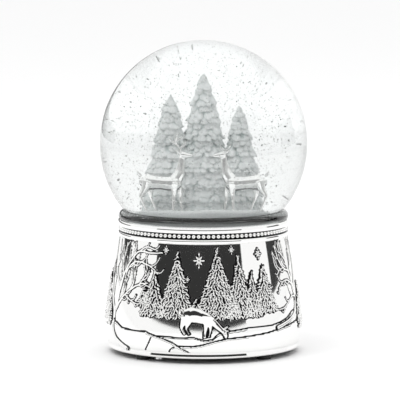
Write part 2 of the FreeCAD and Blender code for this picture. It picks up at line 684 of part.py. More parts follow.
# ---------------------------------------------------------------- cylinder, gear train and governor
def make_cylinder_body():
    """The pinned cylinder on its arbor, between the bevel pinion and the first spur gear."""
    # the wheel has a tooth in the middle of its way here, so the pinion has a gap there
    pinion, inner = bevel(BEVEL_PINION_TEETH, BEVEL_WHEEL_TEETH, s.bevel_module.number,
                          math.pi / BEVEL_PINION_TEETH)
    apex = at(-s.arbor_offset, 0, axis_z)
    pinion.Placement = Placement(apex, Rotation(Vector(0, 0, 1), Vector(-1, 0, 0)))
    pivot = s.pivot_radius.number
    start, length = cylinder_start.number, s.pin_drum_length.number
    arbor_start = apex.x + inner - 0.6
    arbor_end = (gear_start + s.gear_thickness + s.side_play / 2).number
    arbor = along_x(Part.makeCylinder(pivot, arbor_end - arbor_start), arbor_start, 0, axis_z)
    feature("bevel_pinion", pinion.cut(arbor))
    feature("cylinder_arbor", arbor)
    pins, pitch = [], length / (COMB_TEETH + 1.0)
    root = s.pin_drum_radius.number - 0.4
    for track in range(COMB_TEETH):
        for beat in range(PINS_PER_TRACK):
            angle = 2.4 * track + 2 * math.pi * beat / PINS_PER_TRACK + 0.35 * math.sin(3 * track + beat)
            way = Vector(0, math.cos(angle), math.sin(angle))
            foot = Vector(start + pitch * (track + 1), 0, axis_z.number) + way * root
            pins.append(Part.makeCylinder(s.pin_radius.number, s.pin_height.number + 0.4, foot, way))
    barrel = along_x(Part.makeCylinder(s.pin_drum_radius.number, length), start, 0, axis_z)
    feature("pin_cylinder", barrel.cut([arbor] + pins))
    feature("cylinder_pins", Part.makeCompound(pins))
    towards = (second_y.number, (second_z - axis_z).number)
    feature("cylinder_gear", laid_gear(CYLINDER_GEAR_TEETH, s.gear_thickness, gear_start, 0, axis_z,
                                       towards, True))


def make_second_body():
    """The second arbor with its pinion and the worm wheel that drives the governor."""
    start = right_plate - 0.4
    length = (outer_plate + s.bracket_thickness + 0.4 - start).number
    feature("second_arbor", along_x(Part.makeCylinder(s.pivot_radius.number, length), start,
                                    second_y, second_z))
    towards = (-second_y.number, (axis_z - second_z).number)
    feature("second_pinion", laid_gear(SECOND_PINION_TEETH, s.gear_thickness, gear_start, second_y,
                                       second_z, towards, False))
    lead_angle = math.atan(WORM_STARTS * s.spur_module.number / 2 / s.worm_pitch_radius.number)
    wheel_radius = s.spur_module.number * WORM_WHEEL_TEETH / 2.0
    thick = s.worm_wheel_thickness
    twist = math.tan(lead_angle) * thick.number / wheel_radius
    feature("worm_wheel", laid_gear(WORM_WHEEL_TEETH, thick, worm_x - thick / 2, second_y, second_z,
                                    (-1, 0), False, twist))


def make_governor():
    """The two-start worm and the fan on their upright spindle."""
    module, pitch = s.spur_module.number, s.worm_pitch_radius.number
    lead, middle, spare = WORM_STARTS * math.pi * module, second_z.number, 0.9
    reach = 0.7 * module * WORM_WHEEL_TEETH / 2.0
    low, tall = middle - reach - spare, 2 * (reach + spare)
    core, tip = pitch - 1.1 * module, pitch + 0.8 * module
    slope = math.tan(math.radians(20))
    half = math.pi * module / 4.0 * 0.8
    deep = core - 0.1
    worm = Part.makeCylinder(core, tall, Vector(0, 0, low))
    threads = []
    for start in range(WORM_STARTS):
        spine = Part.Wire(Part.makeHelix(lead, tall, pitch).Edges)
        corners = [Vector(deep, 0, -half - (pitch - deep) * slope),
                   Vector(tip, 0, -half + (tip - pitch) * slope),
                   Vector(tip, 0, half - (tip - pitch) * slope),
                   Vector(deep, 0, half + (pitch - deep) * slope)]
        thread = spine.makePipeShell([Part.makePolygon(corners + [corners[0]])], True, True)
        # a thread's crest faces the wheel, at +Y, level with the wheel's axis
        turn = 90 - 360 * (middle - low) / lead + 360.0 * start / WORM_STARTS
        thread.rotate(Vector(), Vector(0, 0, 1), turn)
        thread.translate(Vector(0, 0, low))
        threads.append(thread)
    worm = worm.multiFuse(threads)
    worm = worm.common(Part.makeCylinder(tip + 1, tall - 2 * spare, Vector(0, 0, low + spare)))
    worm = worm.cut(Part.makeCylinder(s.spindle_radius.number, tall, Vector(0, 0, low)))
    worm.translate(at(worm_x, governor_y, 0))
    feature("governor_worm", worm)
    foot = bed_top - s.bed_thickness * 0.7
    fan_low = axis_z + 1.0
    arm_low = fan_low + s.fan_height + 0.6
    keep(cylinder("governor_spindle", s.spindle_radius, arm_low + s.bracket_thickness + 0.8 - foot,
                  worm_x, governor_y, foot), "governor_spindle")
    radius, height = s.fan_radius.number, s.fan_height.number
    vanes = Part.makeBox(2 * radius, 0.4, height, Vector(-radius, -0.2, 0))
    fan = vanes.fuse(Part.makeCylinder(1.2, height)).cut(
        Part.makeCylinder(s.spindle_radius.number, height))
    fan.translate(at(worm_x, governor_y, fan_low))
    feature("governor_fan", fan)
    return arm_low


# ---------------------------------------------------------------- bedplate, brackets and comb
def plate_shape(x, y0, y1, top, holes):
    """An upright bearing plate across X with round holes at (y, z, radius)."""
    thick = s.bracket_thickness.number
    shape = Part.makeBox(thick, y1 - y0, (top - bed_top).number, at(x, y0, bed_top))
    for y, z, radius in holes:
        shape = shape.cut(Part.makeCylinder(radius.number, thick, at(x, y, z), Vector(1, 0, 0)))
    return shape


def foot_shape(x0, x1, y0, y1):
    return Part.makeBox(x1 - x0, y1 - y0, s.bracket_thickness.number, Vector(x0, y0, bed_top.number))


def make_brackets(arm_low):
    """The cylinder's two plates, the second arbor's outer plate and the governor's arm."""
    hole, foot = s.pivot_radius + s.running_gap, s.bracket_foot
    seat = bed_top + s.bracket_thickness
    thick = s.bracket_thickness
    wide, top = s.bracket_half_width.number, axis_z + s.bracket_margin
    spread, margin = s.bracket_screw_spread, s.pivot_margin
    left_foot = left_plate + thick + foot / 2
    right_foot = right_plate - foot / 2
    outer_foot_y = second_y + margin + foot / 2
    outer_foot_x = outer_plate + thick / 2 - 1.0
    post_y = governor_y - s.fan_radius - s.fan_clearance - s.post_thickness
    post_foot_y = post_y + s.post_thickness * 2
    places = [(left_foot, -spread, seat), (left_foot, spread, seat),
              (right_foot, -spread, seat), (right_foot, spread, seat),
              (outer_foot_x, outer_foot_y, seat), (worm_x, post_foot_y, seat)]
    made, holes = small_screws(places)
    feature("bracket_screws", made)
    a, b = (left_plate + thick).number, (left_plate + thick + foot).number
    left = plate_shape(left_plate, -wide, wide, top, [(ZERO, axis_z, hole)])
    feature("left_bracket", left.fuse(foot_shape(a, b, -wide, wide)).cut(holes).removeSplitter())
    low_y, high_y = (second_y - margin).number, (second_y + margin).number
    right = plate_shape(right_plate, low_y, wide, top,
                        [(ZERO, axis_z, hole), (second_y, second_z, hole)])
    b = right_plate.number
    right = right.fuse(foot_shape(b - foot.number, b, -wide, wide))
    feature("right_bracket", right.cut(holes).removeSplitter())
    outer = plate_shape(outer_plate, low_y, high_y, second_z + s.bracket_margin,
                        [(second_y, second_z, hole)])
    a, b = (outer_plate - s.outer_foot_reach).number, (outer_plate + thick).number
    outer = outer.fuse(foot_shape(a, b, high_y, high_y + foot.number))
    feature("outer_bracket", outer.cut(holes).removeSplitter())
    arm_top = (arm_low + thick).number
    x, y, half = worm_x.number, post_y.number, s.arm_width.number / 2
    deep = s.post_thickness.number
    post = Part.makeBox(2 * half, deep, arm_top - bed_top.number, Vector(x - half, y, bed_top.number))
    reach = (governor_y - post_y + s.arm_width / 2).number
    arm = Part.makeBox(2 * half, reach, thick.number, Vector(x - half, y, arm_low.number))
    shape = post.multiFuse([arm, foot_shape(x - half, x + half, y + deep, y + 3 * deep)])
    shape = shape.cut(Part.makeCylinder((s.spindle_radius + s.running_gap).number, thick.number,
                                        at(worm_x, governor_y, arm_low)))
    feature("governor_bracket", shape.cut(holes).removeSplitter())
    return places


def make_bedplate(bed_places, bracket_places):
    """The cast bedplate with the comb's rail, and every hole in it."""
    plate = box("bed_plate", (-s.arbor_offset - s.housing_radius - 2.0, post_limit(), cover_top),
                (outer_plate + s.bracket_thickness + 1.7, comb_back + 1.4, bed_top))
    rail = box("comb_rail", (cylinder_start, comb_root, bed_top), (cylinder_end, comb_back, comb_low))
    bores = [cylinder("arbor_bore", s.arbor_radius + s.running_gap, s.bed_thickness, -s.arbor_offset,
                      ZERO, cover_top),
             cylinder("spindle_bore", s.spindle_radius + s.running_gap, s.bed_thickness, worm_x,
                      governor_y, cover_top)]
    for i, (x, y) in enumerate(bed_places):
        bores.append(cylinder("bed_tap_%d" % i, s.screw_radius, s.bed_thickness, x, y, cover_top))
    for i, (x, y, _) in enumerate(bracket_places):
        bores.append(cylinder("bracket_tap_%d" % i, s.small_screw_radius, s.bed_thickness, x, y,
                              cover_top))
    for i, (x, y) in enumerate(comb_places()):
        bores.append(cylinder("comb_tap_%d" % i, s.screw_radius, 6, x, y, comb_low - 6))
    keep(cut("bedplate", fuse("bed_blank", [plate, rail]), fuse("bed_bores", bores)), "bedplate")


def post_limit():
    """The bedplate's front edge, just past the governor's post."""
    return governor_y - s.fan_radius - 4.4


def comb_places():
    middle = comb_root + s.comb_width / 2
    return [(cylinder_start + 4.0, middle), (cylinder_end - 4.0, middle)]


def make_comb():
    """The steel comb, one tooth for each track of pins, and its two screws."""
    thick, pitch = s.comb_thickness.number, s.pin_drum_length.number / (COMB_TEETH + 1.0)
    start, low = cylinder_start.number, comb_low.number
    body = Part.makeBox(s.pin_drum_length.number, s.comb_width.number, thick,
                        at(cylinder_start, comb_root, comb_low))
    teeth = []
    for track in range(1, COMB_TEETH + 1):
        corner = Vector(start + pitch * (track - 0.36), comb_tip.number, low)
        teeth.append(Part.makeBox(pitch * 0.72, s.comb_reach.number, thick * 0.6, corner))
    holes = [Part.makeCylinder(s.screw_radius.number, thick, at(x, y, comb_low))
             for x, y in comb_places()]
    feature("tone_comb", body.multiFuse(teeth).cut(holes).removeSplitter())
    screws("comb_screws", comb_places(), comb_low + s.comb_thickness, s.comb_thickness + 5.0, up=False)


def make_movement(bed_places):
    make_winding()
    make_cylinder_body()
    make_second_body()
    arm_low = make_governor()
    bracket_places = make_brackets(arm_low)
    make_bedplate(bed_places, bracket_places)
    make_comb()


bed_screw_places = [(-s.arbor_offset - 7.0, Size.of(-19.0)), (-s.arbor_offset - 7.0, Size.of(19.0)),
                    (right_plate - 1.0, Size.of(-19.0))]
make_scene(make_ball())
make_drum(make_collar())
make_cover(bed_screw_places)
make_movement(bed_screw_places)
doc.recompute()

# ---------------------------------------------------------------- checks and export
faults = [item.Name for item in doc.Objects if {"Invalid", "Error"} & set(item.State)]
for item in kept:
    if item.Shape.isNull() or not item.Shape.isValid() or not item.Shape.Solids:
        faults.append(item.Label)
if faults:
    raise SystemExit("these objects failed: " + ", ".join(faults))
os.makedirs("parts", exist_ok=True)
for item in kept:
    item.Shape.exportStep("parts/%s.step" % item.Label)
    print("%-18s solids %3d  faces %4d  volume %10.2f mm3" % (
        item.Label, len(item.Shape.Solids), len(item.Shape.Faces), item.Shape.Volume))
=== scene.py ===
import json
import math
import bpy
import numpy as np
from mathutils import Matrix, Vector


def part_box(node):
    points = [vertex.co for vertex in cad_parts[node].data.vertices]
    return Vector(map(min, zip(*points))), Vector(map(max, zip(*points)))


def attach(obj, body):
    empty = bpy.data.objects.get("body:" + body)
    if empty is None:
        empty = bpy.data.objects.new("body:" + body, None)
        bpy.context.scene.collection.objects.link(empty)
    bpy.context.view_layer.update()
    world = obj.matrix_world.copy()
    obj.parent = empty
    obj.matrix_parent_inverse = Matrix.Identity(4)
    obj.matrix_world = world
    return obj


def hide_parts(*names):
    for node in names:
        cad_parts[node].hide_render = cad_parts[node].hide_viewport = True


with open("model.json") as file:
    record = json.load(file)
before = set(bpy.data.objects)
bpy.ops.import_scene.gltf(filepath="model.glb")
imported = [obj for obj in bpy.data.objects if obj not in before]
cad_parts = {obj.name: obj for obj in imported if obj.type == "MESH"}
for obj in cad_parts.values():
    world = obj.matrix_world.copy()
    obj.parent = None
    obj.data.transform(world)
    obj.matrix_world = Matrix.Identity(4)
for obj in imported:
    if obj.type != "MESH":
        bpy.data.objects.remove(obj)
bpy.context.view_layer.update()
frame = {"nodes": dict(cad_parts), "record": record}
mm = 0.001
rng = np.random.default_rng(1225)
print("stage: frame loaded")


class Clay:
    # gathers points, quads and triangles in millimetres, and makes one mesh piece of them
    def __init__(self):
        self.points, self.quads, self.tris, self.dark, self.count = [], [], [], [], 0

    def add(self, points, quads, tris=(), dark=0.0):
        points = np.asarray(points, float).reshape(-1, 3)
        self.points.append(points)
        self.quads.append(np.asarray(quads, int).reshape(-1, 4) + self.count)
        self.tris.append(np.asarray(tris, int).reshape(-1, 3) + self.count)
        self.dark.append(np.broadcast_to(np.ravel(dark), len(points)))
        self.count += len(points)

    def mesh(self, name):
        points = np.concatenate(self.points) * mm
        faces = np.concatenate(self.quads).tolist() + np.concatenate(self.tris).tolist()
        made = bpy.data.meshes.new(name)
        made.from_pydata(points, [], faces)
        made.attributes.new("dark", "FLOAT", "POINT").data.foreach_set(
            "value", np.concatenate(self.dark).astype(np.float32))
        made.polygons.foreach_set("use_smooth", np.ones(len(made.polygons), bool))
        made.update()
        return made

    def make(self, name, material):
        return stand(name, self.mesh(name), material)


def stand(name, mesh, material):
    # an object of the mesh in the scene, with one material
    piece = bpy.data.objects.new(name, mesh)
    bpy.context.scene.collection.objects.link(piece)
    if material is not None:
        mesh.materials.clear()
        mesh.materials.append(material)
    return piece


def weave(rows, columns, closeRows=False, closeColumns=False):
    # joins each point of a grid to its next neighbour along the row and in the next row
    i, j = np.meshgrid(np.arange(rows if closeRows else rows - 1),
                       np.arange(columns if closeColumns else columns - 1), indexing="ij")
    nextRow, nextColumn = (i + 1) % rows, (j + 1) % columns
    return np.stack([i * columns + j, i * columns + nextColumn,
                     nextRow * columns + nextColumn, nextRow * columns + j], -1).reshape(-1, 4)


def arc(centre, radius, start, end, count):
    # points on a circle in the radius-height plane, from one angle to another in degrees
    angle = np.radians(np.linspace(start, end, count))
    return np.stack([centre[0] + radius * np.cos(angle), centre[1] + radius * np.sin(angle)], -1)


def spun(clay, profile, columns, closed=False, dark=0.0):
    # a profile of (radius, height) turned about Z: x = r sin a, y = -r cos a, a from the front
    profile = np.asarray(profile, float)
    angle = np.linspace(0, 2 * np.pi, columns, endpoint=False)
    radius, height = profile[:, :1], np.repeat(profile[:, 1:], columns, 1)
    points = np.stack([radius * np.sin(angle), -radius * np.cos(angle), height], -1)
    shade = np.repeat(np.broadcast_to(np.ravel(dark), len(profile)), columns)
    quads = weave(len(profile), columns, closed, True)
    keep, tris = np.ones(len(quads), bool), []
    for row, order in ((0, (0, 2, 3)), (len(profile) - 2, (0, 1, 2))):
        pole = 0 if row == 0 else len(profile) - 1
        if not closed and profile[pole, 0] < 1e-9:  # the ring at a pole becomes one point
            band = slice(row * columns, (row + 1) * columns)
            keep[band] = False
            ring = quads[band][:, order].copy()
            ring[:, 0 if row == 0 else 2] = pole * columns
            tris.append(ring)
    clay.add(points, quads[keep], np.concatenate(tris) if tris else (), shade)


def flow(points, count):
    # a Catmull-Rom curve through the points, read at even steps
    p = np.asarray(points, float)
    p = np.vstack([2 * p[0] - p[1], p, 2 * p[-1] - p[-2]])
    t = np.linspace(0, len(p) - 3 - 1e-6, count)
    k = t.astype(int)
    f = (t - k)[:, None]
    a, b, c, d = p[k], p[k + 1], p[k + 2], p[k + 3]
    return 0.5 * (2 * b + (c - a) * f + (2 * a - 5 * b + 4 * c - d) * f ** 2
                  + (3 * b - a - 3 * c + d) * f ** 3)


def unit(vector):
    # vector / its length
    return vector / np.maximum(np.linalg.norm(vector, axis=-1, keepdims=True), 1e-12)


def sweep(path, radii, sides=8, flat=1.0, up=(0, 0, 1)):
    # rings centre + r (cos a side + flat sin a top) along a path, closed by a fan at each end
    path = np.asarray(path, float)
    radii = np.broadcast_to(radii, len(path))[:, None, None]
    along = unit(np.gradient(path, axis=0))
    side = unit(np.cross(along, np.asarray(up, float)))
    top = np.cross(side, along)
    angle = np.linspace(0, 2 * np.pi, sides, endpoint=False)[None, :, None]
    rings = path[:, None] + radii * (np.cos(angle) * side[:, None] + flat * np.sin(angle) * top[:, None])
    count = len(path)
    points = np.concatenate([rings.reshape(-1, 3), path[:1], path[-1:]])
    quads = weave(count, sides, False, True)[:, ::-1]
    j = np.arange(sides)
    first = np.stack([j, np.full(sides, count * sides), (j + 1) % sides], -1)
    last = (count - 1) * sides + np.stack([j, (j + 1) % sides, np.full(sides, sides + 1)], -1)
    return points, quads, np.concatenate([first[:, ::-1], last[:, ::-1]])[:, ::-1]


def smoothStep(value):
    # 3 v^2 - 2 v^3, with v held between 0 and 1
    value = np.clip(value, 0, 1)
    return value * value * (3 - 2 * value)


def melted(name, clay, voxel, passes, material):
    # joined limbs become one skin: voxels of the given size, then the skin is relaxed
    rough = stand(name + "Rough", clay.mesh(name + "Rough"), None)
    remesh = rough.modifiers.new("voxels", "REMESH")
    remesh.mode, remesh.voxel_size = "VOXEL", voxel * mm
    relax = rough.modifiers.new("relax", "SMOOTH")
    relax.factor, relax.iterations = 0.5, passes
    depsgraph = bpy.context.evaluated_depsgraph_get()
    mesh = bpy.data.meshes.new_from_object(rough.evaluated_get(depsgraph))
    bpy.data.objects.remove(rough)
    mesh.name = name
    mesh.polygons.foreach_set("use_smooth", np.ones(len(mesh.polygons), bool))
    return stand(name, mesh, material)


def cornersOf(mesh):
    # the mesh's points in mm
    points = np.empty(len(mesh.vertices) * 3)
    mesh.vertices.foreach_get("co", points)
    return points.reshape(-1, 3) / mm


def put(piece, slot, *nodes):
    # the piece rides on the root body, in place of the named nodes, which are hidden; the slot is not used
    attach(piece, "root")
    if nodes:
        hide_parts(*nodes)
    return piece


def newMaterial(name):
    # a new material, its node tree and its main shader
    material = bpy.data.materials.new(name)
    material.use_nodes = True
    tree = material.node_tree
    return material, tree, tree.nodes["Principled BSDF"]


def node(tree, kind, **values):
    # a new node with its settings and input values
    made = tree.nodes.new(kind)
    for key, value in values.items():
        if hasattr(made, key) and key not in made.inputs:
            setattr(made, key, value)
        else:
            made.inputs[key].default_value = value
    return made


def blend(tree, kind, factor, first, second):
    # a mix node: first x (1 - factor) + second x factor, each end a value or a socket
    made = node(tree, "ShaderNodeMix", data_type=kind)
    ends = [socket for socket in made.inputs if socket.enabled and socket.name in ("A", "B")]
    tree.links.new(factor, made.inputs[0])
    for socket, end in zip(ends, (first, second)):
        if isinstance(end, bpy.types.NodeSocket):
            tree.links.new(end, socket)
        else:
            socket.default_value = end
    return [socket for socket in made.outputs if socket.enabled][0]


def group(name, inputs, outputs):
    # an empty node group with its sockets, and its input and output nodes
    made = bpy.data.node_groups.new(name, "ShaderNodeTree")
    for title, kind, value in inputs:
        socket = made.interface.new_socket(title, in_out="INPUT", socket_type=kind)
        if value is not None:
            socket.default_value = value
    for title, kind in outputs:
        made.interface.new_socket(title, in_out="OUTPUT", socket_type=kind)
    return made, made.nodes.new("NodeGroupInput"), made.nodes.new("NodeGroupOutput")


def grainGroup():
    # object-space noise as a 0 to 1 value and as a bumped normal
    made, given, out = group("grain", [("Scale", "NodeSocketFloat", 800.0), ("Depth", "NodeSocketFloat",
                                                                             0.1)],
                             [("Value", "NodeSocketFloat"), ("Normal", "NodeSocketVector")])
    place = node(made, "ShaderNodeTexCoord")
    noise = node(made, "ShaderNodeTexNoise", Detail=4.0, Roughness=0.6)
    bump = node(made, "ShaderNodeBump", Distance=0.0002)
    made.links.new(place.outputs["Object"], noise.inputs["Vector"])
    made.links.new(given.outputs["Scale"], noise.inputs["Scale"])
    made.links.new(noise.outputs["Fac"], bump.inputs["Height"])
    made.links.new(given.outputs["Depth"], bump.inputs["Strength"])
    made.links.new(noise.outputs["Fac"], out.inputs["Value"])
    made.links.new(bump.outputs["Normal"], out.inputs["Normal"])
    return made


def tarnishAndPaintedShadeGroup():
    # blackened silver and painted shade: the dark attribute, broken up by noise, picks between polish and a
    # near-black that is oxide in the relief's hollows, painted shade on the stags' outlines and undersides,
    # and a painted dark reflection on the bead tips and the darker flakes
    made, given, out = group(
        "tarnishAndPaintedShade",
        [("Polish", "NodeSocketColor", (0.93, 0.93, 0.92, 1)),
         ("OxideAndPaintedShade", "NodeSocketColor", (0.012, 0.012, 0.013, 1)),
         ("Shine", "NodeSocketFloat", 0.06), ("Dull", "NodeSocketFloat", 0.38),
         ("Breakup", "NodeSocketFloat", 0.3)],
        [("Color", "NodeSocketColor"), ("Roughness", "NodeSocketFloat")])
    dark = node(made, "ShaderNodeAttribute", attribute_name="dark")
    place = node(made, "ShaderNodeTexCoord")
    noise = node(made, "ShaderNodeTexNoise", Scale=900.0, Detail=3.0)
    centred = node(made, "ShaderNodeMath", operation="SUBTRACT")
    centred.inputs[1].default_value = 0.5
    spread = node(made, "ShaderNodeMath", operation="MULTIPLY")
    total = node(made, "ShaderNodeMath", operation="ADD")
    limits = node(made, "ShaderNodeMapRange", interpolation_type="SMOOTHSTEP")
    for key, value in (("From Min", 0.3), ("From Max", 0.65)):
        limits.inputs[key].default_value = value
    links = made.links
    links.new(place.outputs["Object"], noise.inputs["Vector"])
    links.new(noise.outputs["Fac"], centred.inputs[0])
    links.new(centred.outputs[0], spread.inputs[0])
    links.new(given.outputs["Breakup"], spread.inputs[1])
    links.new(spread.outputs[0], total.inputs[0])
    links.new(dark.outputs["Fac"], total.inputs[1])
    links.new(total.outputs[0], limits.inputs["Value"])
    for kind, a, b, output in (("RGBA", "Polish", "OxideAndPaintedShade", "Color"), ("FLOAT", "Shine", "Dull", "Roughness")):
        mixed = blend(made, kind, limits.outputs["Result"], given.outputs[a], given.outputs[b])
        links.new(mixed, out.inputs[output])
    return made


grain, tarnishAndPaintedShade = grainGroup(), tarnishAndPaintedShadeGroup()


def useGroup(tree, source, **values):
    # a group in a material, with its input values
    made = node(tree, "ShaderNodeGroup", node_tree=source)
    for key, value in values.items():
        made.inputs[key].default_value = value
    return made


def plain(name, color, metallic=0.0, roughness=0.5, grainScale=800.0, grainDepth=0.15, spread=0.12,
          deep=None, **sockets):
    # one body colour that grain lightens and darkens a little, with the same grain as a bump;
    # the dark attribute fades it to the deep colour, where there is one
    material, tree, shader = newMaterial(name)
    texture = useGroup(tree, grain, Scale=grainScale, Depth=grainDepth)
    low = tuple(c * (1 - spread) for c in color) + (1,)
    high = tuple(min(1, c * (1 + spread)) for c in color) + (1,)
    color = blend(tree, "RGBA", texture.outputs["Value"], low, high)
    if deep is not None:
        dark = node(tree, "ShaderNodeAttribute", attribute_name="dark")
        color = blend(tree, "RGBA", dark.outputs["Fac"], color, deep + (1,))
    tree.links.new(color, shader.inputs["Base Color"])
    tree.links.new(texture.outputs["Normal"], shader.inputs["Normal"])
    shader.inputs["Metallic"].default_value = metallic
    shader.inputs["Roughness"].default_value = roughness
    for key, value in sockets.items():
        shader.inputs[key].default_value = value
    return material


def silver(name, breakup=0.3, shine=0.06, grainDepth=0.03, grainScale=500.0):
    material, tree, shader = newMaterial(name)
    finish = useGroup(tree, tarnishAndPaintedShade, Shine=shine, Breakup=breakup)
    texture = useGroup(tree, grain, Scale=grainScale, Depth=grainDepth)
    tree.links.new(finish.outputs["Color"], shader.inputs["Base Color"])
    tree.links.new(finish.outputs["Roughness"], shader.inputs["Roughness"])
    tree.links.new(texture.outputs["Normal"], shader.inputs["Normal"])
    shader.inputs["Metallic"].default_value = 1.0
    return material


def clear(name, tint, ior):
    # glass or water: light that only casts shadows passes straight through
    material, tree, shader = newMaterial(name)
    shader.inputs["Base Color"].default_value = tint
    shader.inputs["Roughness"].default_value = 0.0
    shader.inputs["IOR"].default_value = ior
    shader.inputs["Transmission Weight"].default_value = 1.0
    rays = node(tree, "ShaderNodeLightPath")
    through = node(tree, "ShaderNodeBsdfTransparent", Color=tint)
    mix = node(tree, "ShaderNodeMixShader")
    tree.links.new(rays.outputs["Is Shadow Ray"], mix.inputs["Fac"])
    tree.links.new(shader.outputs[0], mix.inputs[1])
    tree.links.new(through.outputs[0], mix.inputs[2])
    tree.links.new(mix.outputs[0], tree.nodes["Material Output"].inputs["Surface"])
    return material


finish = {
    "glass": clear("clearGlass", (0.985, 0.995, 0.99, 1), 1.5),
    "liquid": clear("clearWater", (0.995, 0.998, 1.0, 1), 1.334),
    "rubber": plain("blackRubber", (0.012, 0.012, 0.012), 0.0, 0.7, 900, 0.3),
    "sealant": plain("clearSilicone", (0.75, 0.76, 0.76), 0.0, 0.35, 400, 0.1),
    "snow": plain("snowGrain", (0.88, 0.91, 0.92), 0.0, 0.55, 1500, 0.9, 0.16),
    "frosted_resin": plain("frostedPine", (0.88, 0.93, 0.925), 0.0, 0.35, 900, 0.8, 0.2, (0.56, 0.63, 0.62)),
    "silver_paint": silver("stagSilver", 0.5, 0.1, 0.12, 900),
    "silver_plate": silver("collarSilver", 0.1, 0.035, 0.0),
    "antique_silver": silver("reliefSilver", 0.35, 0.05, 0.0),
    "black_plastic": plain("blackPlastic", (0.02, 0.02, 0.021), 0.0, 0.45, 1200, 0.2),
    "plated_steel": plain("platedSteel", (0.72, 0.72, 0.73), 1.0, 0.2, 1500, 0.08),
    "steel": plain("groundSteel", (0.56, 0.56, 0.57), 1.0, 0.3, 2500, 0.12),
    "brass": plain("turnedBrass", (0.78, 0.57, 0.25), 1.0, 0.25, 2000, 0.1),
    "cast_zinc": plain("castZinc", (0.6, 0.6, 0.61), 1.0, 0.5, 900, 0.3)}
glitter = silver("flakeGlitter", 0.0, 0.25)

for part in frame["record"]["subparts"]:
    carried = frame["nodes"][part["node"]]
    for place in carried.material_slots:
        place.material = finish[part["material_slot"]]
print("stage: finishes made")


lowDrum, highDrum = (np.array(corner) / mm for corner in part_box("base_drum"))
drum = {"foot": lowDrum[2], "top": highDrum[2], "skirtRadius": (highDrum[0] - lowDrum[0]) / 2,
        "topRadius": 40.2,
        "skirtTop": lowDrum[2] + 10.5, "sideRound": 400.0, "footRound": 1.1, "footStep": 0.3,
        "footSlope": 2.0, "wall": 2.2,
        "deckHole": 31.6, "deck": 2.2, "columns": 600, "rows": 144, "arcRadius": 43.5}


def drumRadius(height):
    # straight skirt, then a large arc through the skirt's top and the drum's top
    r0, z0, r1, z1 = drum["skirtRadius"], drum["skirtTop"], drum["topRadius"], drum["top"]
    chord = math.hypot(r1 - r0, z1 - z0)
    rise = math.sqrt(drum["sideRound"] ** 2 - (chord / 2) ** 2)
    centreR = (r0 + r1) / 2 - (z1 - z0) / chord * rise
    centreZ = (z0 + z1) / 2 + (r1 - r0) / chord * rise
    curved = centreR + np.sqrt(drum["sideRound"] ** 2 - (np.clip(height, z0, z1) - centreZ) ** 2)
    return np.where(height > z0, curved, r0)


def fold(degrees):
    # the scene runs once round the front half, and mirrored round the back half
    turned = (degrees + 90) % 360 - 90
    return np.where(turned <= 90, turned, 180 - turned)


def degreesOf(along):
    # angle = along / arc radius
    return np.degrees(along / drum["arcRadius"])


def alongOf(degrees):
    # along = angle x arc radius
    return np.radians(degrees) * drum["arcRadius"]


hills = {
    "left": [(-95, 17.5), (-75, 17.0), (-63, 16.2), (-56, 14.2), (-45, 13.9), (-36, 14.1), (-33, 13.2),
             (-25.6, 11.8), (-18.7, 9.9), (-13.7, 7.5), (-8.1, 5.2), (-4, 2.0), (10, -20), (95, -60)],
    "right": [(-95, -40), (-26, -10), (-19, 7.0), (-16, 8.3), (-12, 8.1), (-7, 8.1), (-2, 8.7), (6, 10.5),
              (13.4, 11.7), (21, 12.1), (28, 12.5), (40, 13.2), (52, 14.5), (64, 15.5), (75, 16.5),
              (95, 17.5)],
    "far": [(-95, -10), (-36, 5), (-31, 12.5), (-24, 12.6), (-14, 12.1), (-6, 12.5), (1, 11.0), (5.4, 11.6),
            (8.6, 14.1),
            (13.5, 15.1), (20, 15.6), (28, 16.4), (45, 16.5), (52, 17.3), (59.5, 18.6), (66, 21.0),
            (75, 22), (95, 19)]}
hillHeight = {"left": 0.62, "right": 0.5, "far": 0.3}
# the pines of the relief: middle in degrees, tip height, foot height, half width in mm
reliefPines = [(-17.0, 52.3, 22.0, 8.6), (8.5, 54.3, 22.0, 10.0), (22.5, 50.3, 22.0, 7.0),
               (31.0, 42.9, 22.5, 4.6),
               (40.5, 45.6, 23.5, 7.4), (-32.0, 43.4, 23.0, 6.6), (-4.5, 31.0, 21.8, 4.5),
               (-39.0, 36.0, 26.5, 3.6),
               (-78.0, 34.0, 15.5, 5.5), (-88.0, 40.0, 16.5, 6.0), (80.0, 27.5, 14.0, 4.8),
               (90.0, 34.0, 15.5, 5.6)]


def ground(along, height):
    # hills as soft steps under their crest lines, and a low swelling under each pine
    side = fold(degreesOf(along))
    total = np.zeros(np.broadcast(side, height).shape)
    for name, line in hills.items():
        crest = np.interp(side, *np.array(line).T)
        depth = crest - height
        fade = smoothStep((height - drum["foot"] - 0.5) / 5.0)
        total = total + hillHeight[name] * smoothStep(depth / 0.5 + 0.5) * (0.4 + 0.6 * fade)
    for middle, tip, foot, half in reliefPines:
        share = np.clip((tip - height) / (tip - foot), 0, 1.06)
        across = alongOf(side - middle) / np.maximum(half * share, 0.3)
        inside = (height < tip) & (height > foot - 0.5)
        swell = 0.55 * np.sqrt(np.clip(1 - across ** 2, 0, 1)) * smoothStep((height - foot + 0.5) / 1.5)
        total = np.maximum(total, swell * inside)
    return total


def wrapped(points):
    # (along, height, outward) in mm, laid on the drum: angle = along / the arc radius
    along, height, out = points[..., 0], points[..., 1], points[..., 2]
    radius = drumRadius(height) + out
    angle = along / drum["arcRadius"]
    return np.stack([radius * np.sin(angle), -radius * np.cos(angle), height], -1)


stamps = []  # (along, height) of all that stands on the drum, for the black round it


def onDrum(clay, points, quads, tris=(), lift=0.0, stamp=True, bare=0.25):
    # relief in (along, height, outward) is set on the ground, and is black at its foot
    points = np.asarray(points, float).reshape(-1, 3)
    if stamp:
        stamps.append(points[:, :2])
    placed = points.copy()
    placed[:, 2] += ground(points[:, 0], points[:, 1]) + lift
    clay.add(wrapped(placed), quads, tris, 1 - smoothStep((points[:, 2] + 0.05) / bare))


